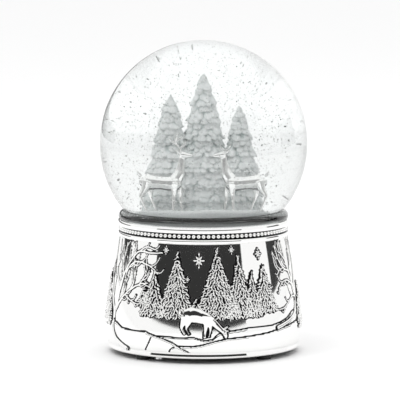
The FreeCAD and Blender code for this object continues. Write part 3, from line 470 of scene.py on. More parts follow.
def sweepBoth(clay, path, radii, sides, flat, bare):
    # a tube on the drum's front, and its mirror image on the back: along = half way round - along
    points, quads, tris = sweep(path, radii, sides, flat, (0, 0, 1))
    onDrum(clay, points, quads, tris, 0.0, True, bare)
    mirrored = points.copy()
    mirrored[:, 0] = alongOf(180.0) - mirrored[:, 0]
    onDrum(clay, mirrored, quads[:, ::-1], tris[:, ::-1], 0.0, True, bare)


def sprigs(clay):
    # curved needle tufts: centre + L (t dir + c t^2 across), a round section that thins to both ends
    where, way, far = [], [], []
    for middle, tip, foot, half in reliefPines:
        for level in np.arange(tip - 0.6, foot - 0.3, -1.18):
            share = (tip - level) / (tip - foot)
            tier = 1.0 + 0.10 * (((tip - level) / 2.9) % 1.0 - 0.5)
            reach = max(half * share * tier - 0.3, 0.0)
            count = max(1, int(2 * reach / 1.2) + 1)
            across = np.linspace(-reach, reach, count) + rng.uniform(-0.22, 0.22, count)
            slant = across / max(half * share, 1.0)
            where.append(np.stack([alongOf(middle) + across, level + rng.uniform(-0.3, 0.3, count)], -1))
            way.append(np.radians(-90 + 52 * slant + rng.uniform(-50, 50, count) * (1 - 0.5 * np.abs(slant))))
            far.append(np.full(count, half))
    where, way = np.concatenate(where), np.concatenate(way)
    where = np.concatenate([where, np.stack([alongOf(180.0) - where[:, 0], where[:, 1]], -1)])
    way = np.concatenate([way, np.pi - way])
    count, rings, sides = len(where), 5, 5
    t = np.linspace(-1, 1, rings)[None, :, None]
    direction = np.stack([np.cos(way), np.sin(way)], -1)[:, None]
    across = np.stack([-np.sin(way), np.cos(way)], -1)[:, None]
    length = rng.uniform(0.75, 1.25, (count, 1, 1))
    bend = rng.uniform(0.25, 0.75, (count, 1, 1)) * rng.choice([-1, 1], (count, 1, 1))
    middle = where[:, None] + length * (t * direction + bend * t ** 2 * across)
    out = rng.uniform(0.15, 0.6, (count, 1)) + 0.2 * t[:, :, 0]
    radius = rng.uniform(0.32, 0.44, (count, 1)) * np.sqrt(1 - (0.86 * t[:, :, 0]) ** 2)
    angle = np.linspace(0, 2 * np.pi, sides, endpoint=False)[None, None, :]
    flatPart = middle[:, :, None] + (radius[:, :, None] * np.cos(angle))[..., None] * across[:, :, None]
    outPart = out[:, :, None] + radius[:, :, None] * 1.1 * np.sin(angle)
    points = np.concatenate([flatPart, outPart[..., None]], -1).reshape(count, rings * sides, 3)
    quads = weave(rings, sides, False, True)
    j = np.arange(1, sides - 1)
    fan = np.stack([np.zeros_like(j), j, j + 1], -1)
    caps = np.concatenate([fan[:, ::-1], fan + (rings - 1) * sides])
    offset = (np.arange(count) * rings * sides)[:, None, None]
    onDrum(clay, points, quads[None] + offset, (caps[None] + offset).reshape(-1, 3), 0.0, True, 0.7)


branches = [  # (degrees, height) along each limb, and its radius at both ends in mm
    ([(-50, 5.0), (-57, 7.0), (-63.6, 9.6), (-66.9, 14.5), (-67.6, 21.1), (-65, 27.2), (-63.1, 34.5),
      (-59.2, 42.0),
      (-53.1, 48.1), (-47.1, 51.6), (-36.3, 51.4), (-27.6, 51.9)], 1.0, 0.32),
    ([(-66.5, 22.5), (-59.8, 28.6), (-52, 33.1), (-43.4, 36.4), (-36.9, 37.2)], 0.7, 0.3),
    ([(-57, 30.6), (-50, 28.0), (-43.4, 26.7)], 0.4, 0.25),
    ([(-64, 31.0), (-61.6, 38.3), (-63.5, 45.4), (-62, 55.0)], 0.55, 0.3),
    ([(-59.2, 41.0), (-51.5, 46.0), (-43.8, 46.6), (-34.9, 44.6), (-30, 41.6)], 0.5, 0.25),
    ([(-48, 51.2), (-41, 54.1), (-34, 53.2), (-30.4, 55.2)], 0.4, 0.25),
    ([(-63.1, 33.5), (-72, 40.7), (-71.5, 47.9), (-74, 55.0)], 0.6, 0.3),
    ([(-53.1, 47.5), (-51, 52.0), (-52, 55.8)], 0.4, 0.25),
    ([(-52, 33.1), (-49, 38.0), (-50.5, 43.5), (-47, 46.0)], 0.4, 0.22),
    ([(-44, 36.2), (-40, 40.5), (-38.5, 44.5)], 0.35, 0.2),
    ([(-67.5, 21), (-74, 28.0), (-79, 36.0), (-80, 46.0), (-84, 55.0)], 0.7, 0.3),
    ([(-60.5, 28), (-57, 34.0), (-58, 40.0), (-55, 44.5)], 0.35, 0.2),
    ([(48, 15.2), (56, 16.6), (63.3, 18.0), (71, 20.6), (74.6, 23.8), (75.5, 29.4), (73.3, 34.5),
      (69.3, 40.6),
      (66.2, 46.1), (63.9, 55.0)], 0.9, 0.32),
    ([(73.3, 33.5), (66, 36.4), (59.6, 36.2), (54, 33.4)], 0.5, 0.25),
    ([(75.3, 28.0), (70, 28.4), (64.5, 26.5), (58, 24.0), (52.3, 23.6)], 0.5, 0.3),
    ([(69.3, 40.6), (62, 42.8), (57.5, 46.9), (54.7, 54.0)], 0.5, 0.25),
    ([(66.2, 46.1), (60.5, 50.3), (59, 55.0)], 0.4, 0.22),
    ([(70.0, 39.6), (76, 46.1), (75, 55.0)], 0.5, 0.28),
    ([(62, 42.8), (56, 42.0), (52.5, 44.5)], 0.35, 0.2),
    ([(74.5, 31.0), (80, 38.0), (84, 46.0), (85, 55.0)], 0.6, 0.3)]


def limbs(clay):
    # each limb is a tapered tube half sunk in the drum; twigs fork off both sides and turn upwards
    plan = [(np.array([(alongOf(d), z) for d, z in points]), a, b) for points, a, b in branches]
    for points, a, b in list(plan):
        path = flow(points, 14)
        for k in range(3, 13, 2 if a > 0.6 else 3):
            if path[k, 1] < 24 or path[k, 1] > 53:
                continue
            heading = math.atan2(*(path[k + 1] - path[k - 1])[::-1])
            turn = heading + rng.choice([-1, 1]) * rng.uniform(0.45, 0.95)
            size = rng.uniform(3.0, 6.5)
            reach = size * np.array([math.cos(turn), math.sin(turn)])
            lift = np.array([0.0, size * 0.5])
            end = np.minimum(path[k] + reach + lift, [1e9, 55.8])
            plan.append((np.array([path[k], path[k] + reach * 0.55, end]), 0.34, 0.18))
    for points, a, b in plan:
        count = max(6, int(np.linalg.norm(np.diff(points, axis=0), axis=1).sum() / 0.9))
        path = flow(points, count)
        path = np.concatenate([path, np.full((count, 1), 0.12)], -1)
        path[:, 1] = np.minimum(path[:, 1], 56.1)
        path[:, :2] += 0.09 * np.sin(np.arange(count) * 1.3)[:, None] * rng.uniform(-1, 1, 2)
        sweepBoth(clay, path, np.linspace(a, b, count), 8, 0.85, 0.3)


reliefFlakes = [(-25.4, 53.3, 2.0), (-3.0, 48.8, 3.4), (18.5, 53.6, 2.0), (38.1, 51.0, 2.4),
                (-10.0, 40.0, 1.4)]


def snowflakes(clay):
    # eight leaf-shaped arms round a small boss, the upright ones longer
    for degrees, height, size in reliefFlakes:
        centre = np.array([alongOf(degrees), height])
        for k in range(8):
            angle = math.pi * k / 4
            stretch = 1.0 if k % 2 == 0 else 0.72
            tip = size * stretch * np.array([0.85 * math.cos(angle), 1.15 * math.sin(angle)])
            t = np.linspace(0.12, 1, 6)[:, None]
            path = np.concatenate([centre + tip * t, np.full((6, 1), 0.3)], -1)
            radius = 0.15 * size * np.array([0.45, 0.9, 0.75, 1.0, 0.7, 0.15])
            sweepBoth(clay, path, radius, 6, 1.0, 0.25)


grazer = [  # (degrees, height, radius) along each part of the grazing deer, and how flat it is
    ([(-12.0, 24.4, 1.9), (-10.0, 24.0, 3.0), (-7.0, 23.7, 3.6), (-3.0, 23.1, 3.35), (0.5, 22.2, 3.0),
      (3.4, 21.6, 2.1)], 0.5),
    ([(2.6, 21.9, 2.1), (6.2, 19.7, 1.6), (9.4, 17.2, 1.2), (11.4, 15.9, 1.05)], 0.6),
    ([(11.2, 16.2, 1.1), (12.4, 14.5, 0.9), (12.9, 13.2, 0.62), (12.7, 12.5, 0.4)], 0.8),
    ([(11.6, 16.8, 0.35), (13.3, 17.5, 0.5), (15.0, 18.1, 0.12)], 0.8),
    ([(12.4, 15.9, 0.35), (13.9, 15.9, 0.45), (15.2, 15.6, 0.12)], 0.8),
    ([(1.4, 20.6, 1.3), (1.3, 17.4, 0.78), (0.8, 14.9, 0.5), (0.6, 12.6, 0.55)], 0.9),
    ([(3.2, 20.0, 1.1), (4.0, 17.0, 0.6), (3.4, 14.4, 0.42), (2.8, 12.9, 0.45)], 0.6),
    ([(-10.4, 22.6, 2.3), (-12.0, 19.6, 1.3), (-12.9, 17.3, 0.62), (-11.9, 15.6, 0.48),
      (-11.0, 14.3, 0.55)], 0.8),
    ([(-8.6, 21.4, 1.8), (-9.4, 18.9, 0.95), (-10.1, 17.0, 0.5), (-8.9, 15.2, 0.42), (-8.2, 14.2, 0.5)], 0.5),
    ([(-13.2, 26.4, 0.35), (-14.2, 25.0, 0.6), (-14.1, 23.0, 0.25)], 0.9)]


def grazingDeer(material):
    # limbs in the flat, joined into one skin, thinned outwards and laid on the drum
    clay = Clay()
    for points, flat in grazer:
        stretched = flow([(alongOf(d), z, r) for d, z, r in points], 16)
        path = np.stack([stretched[:, 0], stretched[:, 1], np.zeros(16)], -1)
        clay.add(*sweep(path, stretched[:, 2], 12, flat, (0, 0, 1)))
    front = melted("grazingDeer", clay, 0.26, 5, material)
    flatPoints = cornersOf(front.data)
    pieces = []
    for piece, points in ((front, flatPoints), (None, flatPoints * [-1, 1, 1] + [alongOf(180.0), 0, 0])):
        if piece is None:
            mesh = front.data.copy()
            mesh.flip_normals()
            piece = stand("grazingDeerBack", mesh, material)
        placed = points.copy()
        lean = 0.65 + 0.35 * smoothStep((points[:, 1] - 19.0) / 5.0)
        placed[:, 2] = 1.0 * np.tanh(points[:, 2]) * lean + 0.3 + ground(points[:, 0], points[:, 1])
        stamps.append(points[:, :2])
        pieces.append((piece, wrapped(placed)))
        dark = 1 - smoothStep((points[:, 2] + 0.1) / 0.45)
        piece.data.attributes.new("dark", "FLOAT", "POINT").data.foreach_set("value", dark.astype(np.float32))
    for piece, points in pieces:
        piece.data.vertices.foreach_set("co", (points * mm).ravel())
        piece.data.update()
    return [piece for piece, _ in pieces]


silverRelief = finish["antique_silver"]
pineClay, limbClay, flakeClay = Clay(), Clay(), Clay()
sprigs(pineClay)
limbs(limbClay)
snowflakes(flakeClay)
reliefPieces = [pineClay.make("reliefPines", silverRelief), limbClay.make("reliefBareTrees", silverRelief),
                flakeClay.make("reliefSnowflakes", silverRelief)] + grazingDeer(silverRelief)
for piece in reliefPieces:
    put(piece, "antique_silver")
print("stage: relief made")


def drumShell():
    # outer wall with the ground's height, then the deck, its hole and the inner wall, as one closed ring
    columns, rows = drum["columns"], drum["rows"]
    r, z0, z1 = drum["skirtRadius"], drum["foot"], drum["top"]
    edge = arc((r - drum["footRound"], z0 + drum["footRound"]), drum["footRound"], -90, 0, 7)
    edge = np.concatenate([edge, [(r - drum["footStep"] * k, z0 + drum["footRound"] + drum["footSlope"] * k)
                                  for k in (0.02, 0.5, 0.98)]])
    heights = np.linspace(edge[-1, 1] + 0.05, z1, rows)
    inwards = drum["footStep"] * (1 - smoothStep((heights - drum["skirtTop"] + 4) / 6))
    outer = np.stack([drumRadius(heights) - inwards, heights], -1)
    inner = np.linspace(z1 - drum["deck"], drum["skirtTop"], 4)
    rest = np.array([(drum["deckHole"], z1), (drum["deckHole"], z1 - drum["deck"])]
                    + [(drumRadius(h) - drum["wall"], h) for h in inner] + [(r - drum["wall"], z0)])
    profile = np.concatenate([edge, outer, rest])
    angle = np.linspace(0, 2 * np.pi, columns, endpoint=False)
    along = angle * drum["arcRadius"]
    along = np.where(angle > np.pi, along - 2 * np.pi * drum["arcRadius"], along)
    radius = np.repeat(profile[:, :1], columns, 1)
    height = np.repeat(profile[:, 1:], columns, 1)
    band = slice(len(edge), len(edge) + rows)
    lift = ground(along[None], heights[:, None])
    lift *= smoothStep((z1 - heights[:, None]) / 0.8)
    radius[band] += lift
    # black gathers in hollows and round the foot of the relief
    hollow = np.zeros_like(lift)
    for shift in (1, 2):
        hollow += np.roll(lift, shift, 1) + np.roll(lift, -shift, 1) - 2 * lift
    hollow[2:-2] += (lift[4:] + lift[:-4] - 2 * lift[2:-2]) + (lift[3:-1] + lift[1:-3] - 2 * lift[2:-2])
    marks = np.zeros_like(lift)
    spots = np.concatenate(stamps)
    column = np.round(spots[:, 0] / drum["arcRadius"] / (2 * np.pi) * columns).astype(int) % columns
    row = np.clip(np.round((spots[:, 1] - heights[0]) / (heights[1] - heights[0])).astype(int), 0, rows - 1)
    np.add.at(marks, (row, column), 1.0)
    marks = np.minimum(marks, 2.0)
    kernel = np.array([0.5, 1.0, 0.5])
    marks = sum(w * np.roll(marks, k - 1, 1) for k, w in enumerate(kernel))
    padded = np.pad(marks, ((1, 1), (0, 0)), mode="edge")
    marks = sum(w * padded[k:k + rows] for k, w in enumerate(kernel))
    dark = np.zeros_like(radius)
    dark[band] = np.clip(hollow * 6.0, 0, 1) * 0.9 + np.clip(marks * 0.8, 0, 1)
    dark[band] = np.clip(dark[band], 0, 1)
    dark[len(edge) + rows:] = 0.9
    points = np.stack([radius * np.sin(angle), -radius * np.cos(angle), height], -1)
    clay = Clay()
    clay.add(points, weave(len(profile), columns, True, True), (), dark)
    return put(clay.make("baseDrumRelief", silverRelief), "antique_silver", "base_drum")


drumShell()
print("stage: drum made")


lowCollar, highCollar = (np.array(corner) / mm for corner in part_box("collar"))
collar = {"land": 34.0, "footRadius": 40.9, "footHeight": 1.9, "groove": 38.9, "grooveHeight": 3.0,
          "rim": 41.3, "rimHeight": 1.5, "shoulderHeight": 1.0, "shoulderStep": 0.14, "lipStep": 0.6,
          "bottom": lowCollar[2], "top": highCollar[2],
          "seatRadius": 50.3, "ballMiddle": 100.3, "beads": 108, "beadRadius": 1.05, "beadStrip": 0.35}


def arcBetween(start, end, radius, count):
    # an arc that bulges to the right of the way from start to end
    start, end = np.array(start, float), np.array(end, float)
    across = (end - start) / np.linalg.norm(end - start)
    side = np.array([-across[1], across[0]])
    centre = (start + end) / 2 + side * math.sqrt(radius ** 2 - (np.linalg.norm(end - start) / 2) ** 2)
    a = math.degrees(math.atan2(*(start - centre)[::-1]))
    b = math.degrees(math.atan2(*(end - centre)[::-1]))
    return arc(centre, radius, a, b if b > a else b + 360, count)


def collarRing():
    # foot ring, bead groove, flat rim, leaning shoulder, narrow lip and the seat under the ball
    z = collar["bottom"]
    grooveLow, grooveHigh = z + collar["footHeight"], z + collar["footHeight"] + collar["grooveHeight"]
    rimTop = grooveHigh + collar["rimHeight"]
    lip = math.sqrt(collar["seatRadius"] ** 2 - (collar["ballMiddle"] - collar["top"]) ** 2)
    foot = arcBetween((collar["footRadius"], z + 0.02), (collar["footRadius"], grooveLow), 1.9, 9)
    edge = arc((collar["rim"] - 0.18, grooveHigh + 0.18), 0.18, -90, 0, 4)
    shoulderTop = rimTop + collar["shoulderHeight"]
    shoulder = [(collar["rim"], rimTop), (collar["rim"] - collar["shoulderStep"], shoulderTop),
                (collar["rim"] - collar["lipStep"], collar["top"])]
    profile = np.concatenate([
        [(collar["land"], z + 0.02)], foot,
        [(collar["groove"], grooveLow), (collar["groove"], grooveHigh)], edge, shoulder,
        [(lip, collar["top"]),
         (collar["land"],
          collar["ballMiddle"] - math.sqrt(collar["seatRadius"] ** 2 - collar["land"] ** 2))]])
    dark = np.zeros(len(profile))
    dark[len(foot) + 1:len(foot) + 3] = 1.0
    dark[len(foot)] = 0.45
    clay = Clay()
    spun(clay, profile, 360, True, dark)
    return put(clay.make("collarRing", finish["silver_plate"]), "silver_plate", "collar")


def beads():
    # balls in a ring, each a grid of latitudes and longitudes with closed poles, on a thin strip
    middle = collar["bottom"] + collar["footHeight"] + collar["grooveHeight"] / 2
    circle = collar["groove"] + collar["beadRadius"] + 0.07
    count, rows, columns = collar["beads"], 11, 16
    latitude = np.linspace(-np.pi / 2, np.pi / 2, rows)[1:-1, None]
    longitude = np.linspace(0, 2 * np.pi, columns, endpoint=False)[None]
    ball = np.stack([np.cos(latitude) * np.cos(longitude), np.cos(latitude) * np.sin(longitude),
                     np.sin(latitude) * np.ones_like(longitude)], -1).reshape(-1, 3)
    ball = np.concatenate([ball, [(0, 0, -1), (0, 0, 1)]]) * collar["beadRadius"]
    angle = 2 * np.pi * np.arange(count)[:, None] / count
    x = circle + ball[None, :, 0]
    points = np.stack([x * np.sin(angle) + ball[None, :, 1] * np.cos(angle),
                       -x * np.cos(angle) + ball[None, :, 1] * np.sin(angle),
                       middle + ball[None, :, 2] + 0 * angle], -1)
    j, size = np.arange(columns), (rows - 2) * columns
    low = np.stack([(j + 1) % columns, j, np.full(columns, size)], -1)
    high = (rows - 3) * columns + np.stack([j, (j + 1) % columns, np.full(columns,
                                                                          size + 1 - (rows - 3) * columns)],
                                                                          -1)
    offset = (np.arange(count) * (size + 2))[:, None, None]
    clay = Clay()
    # black patina on each bead's inner half, next to the strip; the one outermost point of each bead is a
    # painted dark reflection spot
    dark = 1 - smoothStep((np.broadcast_to(x, points.shape[:2]) - circle + 0.25) / 0.5)
    dark = np.maximum(dark, np.broadcast_to(x > circle + 0.97 * collar["beadRadius"], points.shape[:2]))
    clay.add(points, weave(rows - 2, columns, False, True)[None] + offset,
             (np.concatenate([low, high])[None] + offset).reshape(-1, 3), dark.ravel())
    strip, half = collar["beadStrip"], collar["beadRadius"] * 0.9
    g = collar["groove"] + 0.02
    spun(clay, [(g, middle - half), (g + strip, middle - half), (g + strip, middle + half),
                (g, middle + half)],
         216, True, 1.0)
    return put(clay.make("beadedBand", finish["silver_plate"]), "silver_plate", "beaded_band")


collarRing()
beads()
print("stage: collar made")


lowBall, highBall = (np.array(corner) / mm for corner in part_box("glass_globe"))
ball = {"radius": (highBall[0] - lowBall[0]) / 2, "wall": 2.5, "neck": 30.0, "neckEnd": lowBall[2],
        "overlap": 0.03,
        "stopperTop": lowBall[2] + 10.0, "mound": 26.8, "moundTop": lowBall[2] + 22.0}
ball["middle"] = highBall[2] - ball["radius"]
ball.update({"foot": collar["top"] + 0.3, "flange": 40.6, "flangeHeight": 3.9, "flangeRound": 2.6,
             "waist": 38.5})


def glassBall():
    # neck, underside of the ball, flange, waist and ball, then back down inside, as one closed skin
    r, inner, z, neck = ball["radius"], ball["radius"] - ball["wall"], ball["middle"], ball["neck"]
    bore = neck - ball["wall"]
    waistTop = ball["foot"] + ball["flangeHeight"]
    seatEdge = math.sqrt(r ** 2 - (z - ball["foot"]) ** 2)
    low = arc((0, z), r, -math.degrees(math.acos(neck / r)), -math.degrees(math.acos(seatEdge / r)), 12)
    flange = arcBetween((ball["flange"], ball["foot"]), (ball["waist"], waistTop), ball["flangeRound"], 18)
    outer = arc((0, z), r, -math.degrees(math.acos(ball["waist"] / r)), 90, 110)
    outer[-1, 0] = 0
    outer = np.concatenate([low, flange, outer[1:]])
    innerStart = -math.degrees(math.acos(bore / inner))
    back = arc((0, z), inner, 90, innerStart, 110)
    back[0, 0] = 0
    clay = Clay()
    spun(clay, np.concatenate([[(bore, ball["neckEnd"]), (neck, ball["neckEnd"])], outer]), 220)
    spun(clay, np.concatenate([back, [(bore, ball["neckEnd"])]]), 220)
    piece = put(clay.make("glassBall", finish["glass"]), "glass", "glass_globe")
    weld(piece)
    return piece


def weld(piece):
    # points in one place become one point
    import bmesh
    made = bmesh.new()
    made.from_mesh(piece.data)
    bmesh.ops.remove_doubles(made, verts=made.verts, dist=1e-8)
    made.to_mesh(piece.data)
    made.free()
    piece.data.update()


def waterBody():
    # a hair wider than the glass's inside, so that light goes from glass to water with no gap
    r, z = ball["radius"] - ball["wall"] + ball["overlap"], ball["middle"]
    bore = ball["neck"] - ball["wall"] + ball["overlap"]
    low = ball["stopperTop"] + 0.02
    round_ = arc((0, z), r, -math.degrees(math.acos(bore / r)), 90, 110)
    round_[-1, 0] = 0
    clay = Clay()
    spun(clay, np.concatenate([[(0, low), (bore, low)], round_]), 220)
    return put(clay.make("waterFill", finish["liquid"]), "liquid", "liquid_fill")


def snowMound():
    # a disc of drifts and grains: height = top + drifts - edge drop, the side straight down
    count, rings = 300, 150
    share = np.linspace(0, 1, rings) ** 0.8
    radius = share * ball["mound"]
    angle = np.linspace(0, 2 * np.pi, count, endpoint=False)
    x, y = radius[:, None] * np.sin(angle), -radius[:, None] * np.cos(angle)
    height = 0.35 * np.sin(x / 5.1 + 0.7) * np.cos(y / 4.3) + rng.uniform(-0.17, 0.17, x.shape)
    height -= 2.0 * (1 - np.sqrt(1 - np.clip((radius[:, None] - 24.3) / 2.5, 0, 1) ** 2))
    height[0] = height[0].mean()
    points = np.stack([x, y, ball["moundTop"] + height], -1)[::-1]
    side = np.stack([points[0, :, 0], points[0, :, 1], np.full(count, ball["stopperTop"] + 0.05)], -1)
    grid = np.concatenate([side[None], points])
    grid = np.concatenate([np.zeros((1, count, 3)) + [0, 0, ball["stopperTop"] + 0.05], grid])
    clay = Clay()
    clay.add(grid, weave(rings + 2, count, False, True))
    piece = put(clay.make("snowMound", finish["snow"]), "snow", "snow_mound")
    weld(piece)
    return piece


insidePines = [  # name, node, middle (x, y), height, radius, tiers
    ("pineMiddle", "tree_middle", (0.0, 6.5), 50.7, 12.4, 9),
    ("pineLeft", "tree_left", (-11.6, 6.5), 43.1, 11.0, 8),
    ("pineRight", "tree_right", (12.6, 6.5), 38.9, 8.8, 7)]


def pine(name, cadNode, middle, tall, wide, tiers):
    # radius = cone x tier sawtooth, raised by round tufts of snow set in rings down the cone
    rows, columns = 190, 150
    t = np.linspace(0, 1, rows)
    angle = np.linspace(0, 2 * np.pi, columns, endpoint=False)
    saw = (t * tiers) % 1.0
    radius = wide * (1 - t) ** 0.78 * (0.80 + 0.13 * (1 - saw))
    radius = np.repeat(radius[:, None], columns, 1)
    bumps = np.zeros_like(radius)
    for level in np.arange(0.012, 0.985, 2.0 / tall):
        around = max(4, int(2 * np.pi * wide * (1 - level) ** 0.78 / 2.2))
        for k in range(around):
            a = 2 * np.pi * (k + rng.uniform(-0.35, 0.35)) / around + level * 40
            size = rng.uniform(0.9, 1.7)
            gap = np.abs((angle - a + np.pi) % (2 * np.pi) - np.pi)[None] * np.maximum(radius, 0.4)
            drop = (t - level - rng.uniform(-0.01, 0.01))[:, None] * tall
            away = (gap ** 2 + (drop * np.where(drop > 0, 0.8, 1.25)) ** 2) / size ** 2
            bumps = np.maximum(bumps, rng.uniform(0.9, 1.9) * np.sqrt(np.clip(1 - away, 0, 1)))
    radius = radius + bumps * smoothStep(((1 - t) * tall / 5)[:, None] + 0.25)
    radius[-1] = 0
    radius *= np.minimum(1, 1.15 * wide / np.maximum(radius, 1e-6))
    x = middle[0] + radius * np.sin(angle)
    y = middle[1] - radius * np.cos(angle)
    z = ball["moundTop"] - 0.3 + np.repeat(t[:, None], columns, 1) * (tall + 0.3)
    z = z + rng.uniform(-0.08, 0.08, z.shape) - 0.5 * bumps * (t[:, None] < 0.97)
    z = np.maximum(z, ball["moundTop"] - 0.3)
    base = np.stack([np.full(columns, middle[0]), np.full(columns, middle[1]),
                     np.full(columns, ball["moundTop"] - 0.3)], -1)
    clay = Clay()
    z[-1] = z[-1].mean()
    # pale on the snow tufts and darker in the gaps between them; the lowest third of the tree is also
    # darkened towards its foot, painted shade
    dark = np.clip(0.75 - bumps / 1.3, 0, 0.75) + 0.3 * np.clip(0.3 - t[:, None], 0, 0.3) / 0.3
    dark = np.concatenate([dark[:1], dark])
    clay.add(np.concatenate([base[None], np.stack([x, y, z], -1)]), weave(rows + 1, columns, False, True),
             dark=np.clip(dark, 0, 0.85).ravel())
    piece = put(clay.make(name, finish["frosted_resin"]), "frosted_resin", cadNode)
    weld(piece)
    return piece


glassBall()
waterBody()
snowMound()
for given in insidePines:
    pine(*given)
print("stage: ball made")


# stags: each limb is (forward, sideways, up, radius) along its middle line, from the hooves' middle
stagBody = [
    ([(-8.4, 0, 13.6, 1.0), (-7.4, 0, 12.8, 2.5), (-5.0, 0, 12.4, 2.75), (-1.0, 0, 12.2, 2.35),
      (2.5, 0, 12.0, 2.6),
      (5.4, 0, 12.2, 2.5), (6.9, 0, 12.4, 1.3)], 0.85),
    ([(4.6, 0, 12.6, 2.3), (6.3, 0, 15.4, 1.9), (7.0, 0, 18.2, 1.4), (7.3, 0, 20.8, 1.15),
      (7.3, 0, 22.2, 1.1)], 0.8),
    ([(6.5, 0, 22.5, 0.9), (7.4, 0, 22.8, 1.35), (8.8, 0, 22.6, 1.1), (10.4, 0, 22.5, 0.72),
      (11.4, 0, 22.6, 0.5)], 0.85),
    ([(-8.4, 0, 14.4, 0.5), (-9.6, 0, 15.6, 0.55), (-10.2, 0, 16.8, 0.15)], 0.8)]
stagLegs = [
    ([(4.6, 1.3, 12.0, 1.5), (4.3, 1.5, 8.6, 0.9), (4.1, 1.5, 5.2, 0.6), (3.9, 1.5, 2.2, 0.45),
      (3.8, 1.5, 0.8, 0.5),
      (4.1, 1.5, -0.2, 0.6)], 1.0),
    ([(6.0, -1.3, 12.0, 1.4), (6.8, -1.5, 8.4, 0.85), (7.0, -1.5, 5.2, 0.55), (7.4, -1.5, 2.2, 0.42),
      (7.5, -1.5, 0.7, 0.48),
      (7.8, -1.5, -0.2, 0.56)], 1.0),
    ([(-6.2, 1.2, 12.4, 2.1), (-7.4, 1.4, 9.4, 1.4), (-9.2, 1.5, 6.4, 0.72), (-8.6, 1.5, 3.6, 0.5),
      (-7.6, 1.5, 1.0, 0.48),
      (-7.2, 1.5, -0.2, 0.56)], 0.85),
    ([(-5.2, -1.2, 12.4, 2.0), (-4.6, -1.4, 9.2, 1.3), (-4.6, -1.5, 6.6, 0.7), (-3.6, -1.5, 3.8, 0.48),
      (-2.6, -1.5, 1.0, 0.46),
      (-2.2, -1.5, -0.2, 0.54)], 0.85)]
stagEars = [([(6.8, 0.7, 23.0, 0.35), (5.9, 1.5, 23.8, 0.55), (4.9, 2.4, 24.6, 0.12)], 0.5)]
bigAntlers = [
    ([(7.1, 0.6, 23.4, 0.42), (6.4, 1.6, 25.2, 0.36), (5.0, 2.6, 27.4, 0.32), (5.2, 3.2, 29.6, 0.26),
      (6.2, 3.1, 31.0, 0.12)], 1),
    ([(6.5, 1.5, 25.0, 0.3), (8.0, 1.9, 26.4, 0.26), (9.0, 2.1, 28.2, 0.1)], 1),
    ([(5.4, 2.4, 27.0, 0.28), (3.4, 3.0, 28.0, 0.22), (2.6, 3.2, 29.4, 0.1)], 1),
    ([(5.1, 2.9, 28.4, 0.26), (7.4, 3.0, 29.2, 0.2), (8.6, 2.9, 30.4, 0.1)], 1)]
smallAntlers = [
    ([(7.1, 0.6, 23.3, 0.36), (6.4, 1.4, 24.6, 0.3), (5.0, 2.2, 25.6, 0.26), (4.4, 2.6, 26.8, 0.12)], 1),
    ([(6.5, 1.3, 24.4, 0.26), (7.8, 1.6, 25.2, 0.22), (8.4, 1.7, 26.4, 0.1)], 1)]


def stag(name, cadNode, place, way, lean, antlers):
    # the body's limbs become one skin, and the thin antlers are added to it as they are
    clay = Clay()

    def addLimbs(parts, target, mirrorY=False, stout=1.0):
        for points, flat in parts:
            line = flow(points, 18)
            x = line[:, 0] + lean * np.clip(line[:, 2] - 12, 0, 20) * 0.1
            side = -line[:, 1] if mirrorY else line[:, 1]
            path = np.stack([place[0] + way * x, place[1] - side, ball["moundTop"] + line[:, 2]], -1)
            up = (0, 1, 0.001)
            target.add(*sweep(path, line[:, 3] * stout, 10, flat, up))

    addLimbs(stagBody, clay, False, 1.12)
    addLimbs(stagLegs, clay, False, 1.1)
    for mirrorY in (False, True):
        addLimbs(stagEars, clay, mirrorY)
    body = melted(name, clay, 0.22, 4, None)
    thin = Clay()
    for mirrorY in (False, True):
        addLimbs(antlers, thin, mirrorY)
    skin = Clay()
    corners = cornersOf(body.data)
    starts, totals = (np.zeros(len(body.data.polygons), int) for _ in range(2))
    body.data.polygons.foreach_get("loop_start", starts)
    body.data.polygons.foreach_get("loop_total", totals)
    ends = np.zeros(len(body.data.loops), int)
    body.data.loops.foreach_get("vertex_index", ends)
    quads = ends[starts[totals == 4][:, None] + np.arange(4)]
    tris = ends[starts[totals == 3][:, None] + np.arange(3)]
    facing = np.zeros(len(corners) * 3)
    body.data.vertices.foreach_get("normal", facing)
    facing = facing.reshape(-1, 3)
    # painted shade: the skin is darkened where it turns side-on to a view along y, a painted dark outline,
    # and on its undersides, and is left bright where it faces up; the antlers are a little darker all over
    edge = np.clip(1 - np.abs(facing[:, 1]) / 0.6, 0, 1) * 0.7 + 0.3 * (facing[:, 2] < -0.3)
    skin.add(corners, quads, tris, np.where(facing[:, 2] > 0.6, 0.0, edge))
    skin.add(np.concatenate(thin.points), np.concatenate(thin.quads), np.concatenate(thin.tris), 0.35)
    bpy.data.objects.remove(body)
    return put(skin.make(name, finish["silver_paint"]), "silver_paint", cadNode)


stag("stagLeft", "deer_left", (-15.6, -8.0), 1, 0.0, bigAntlers)
stag("stagRight", "deer_right", (15.4, -8.0), -1, 0.5, smallAntlers)
print("stage: stags made")


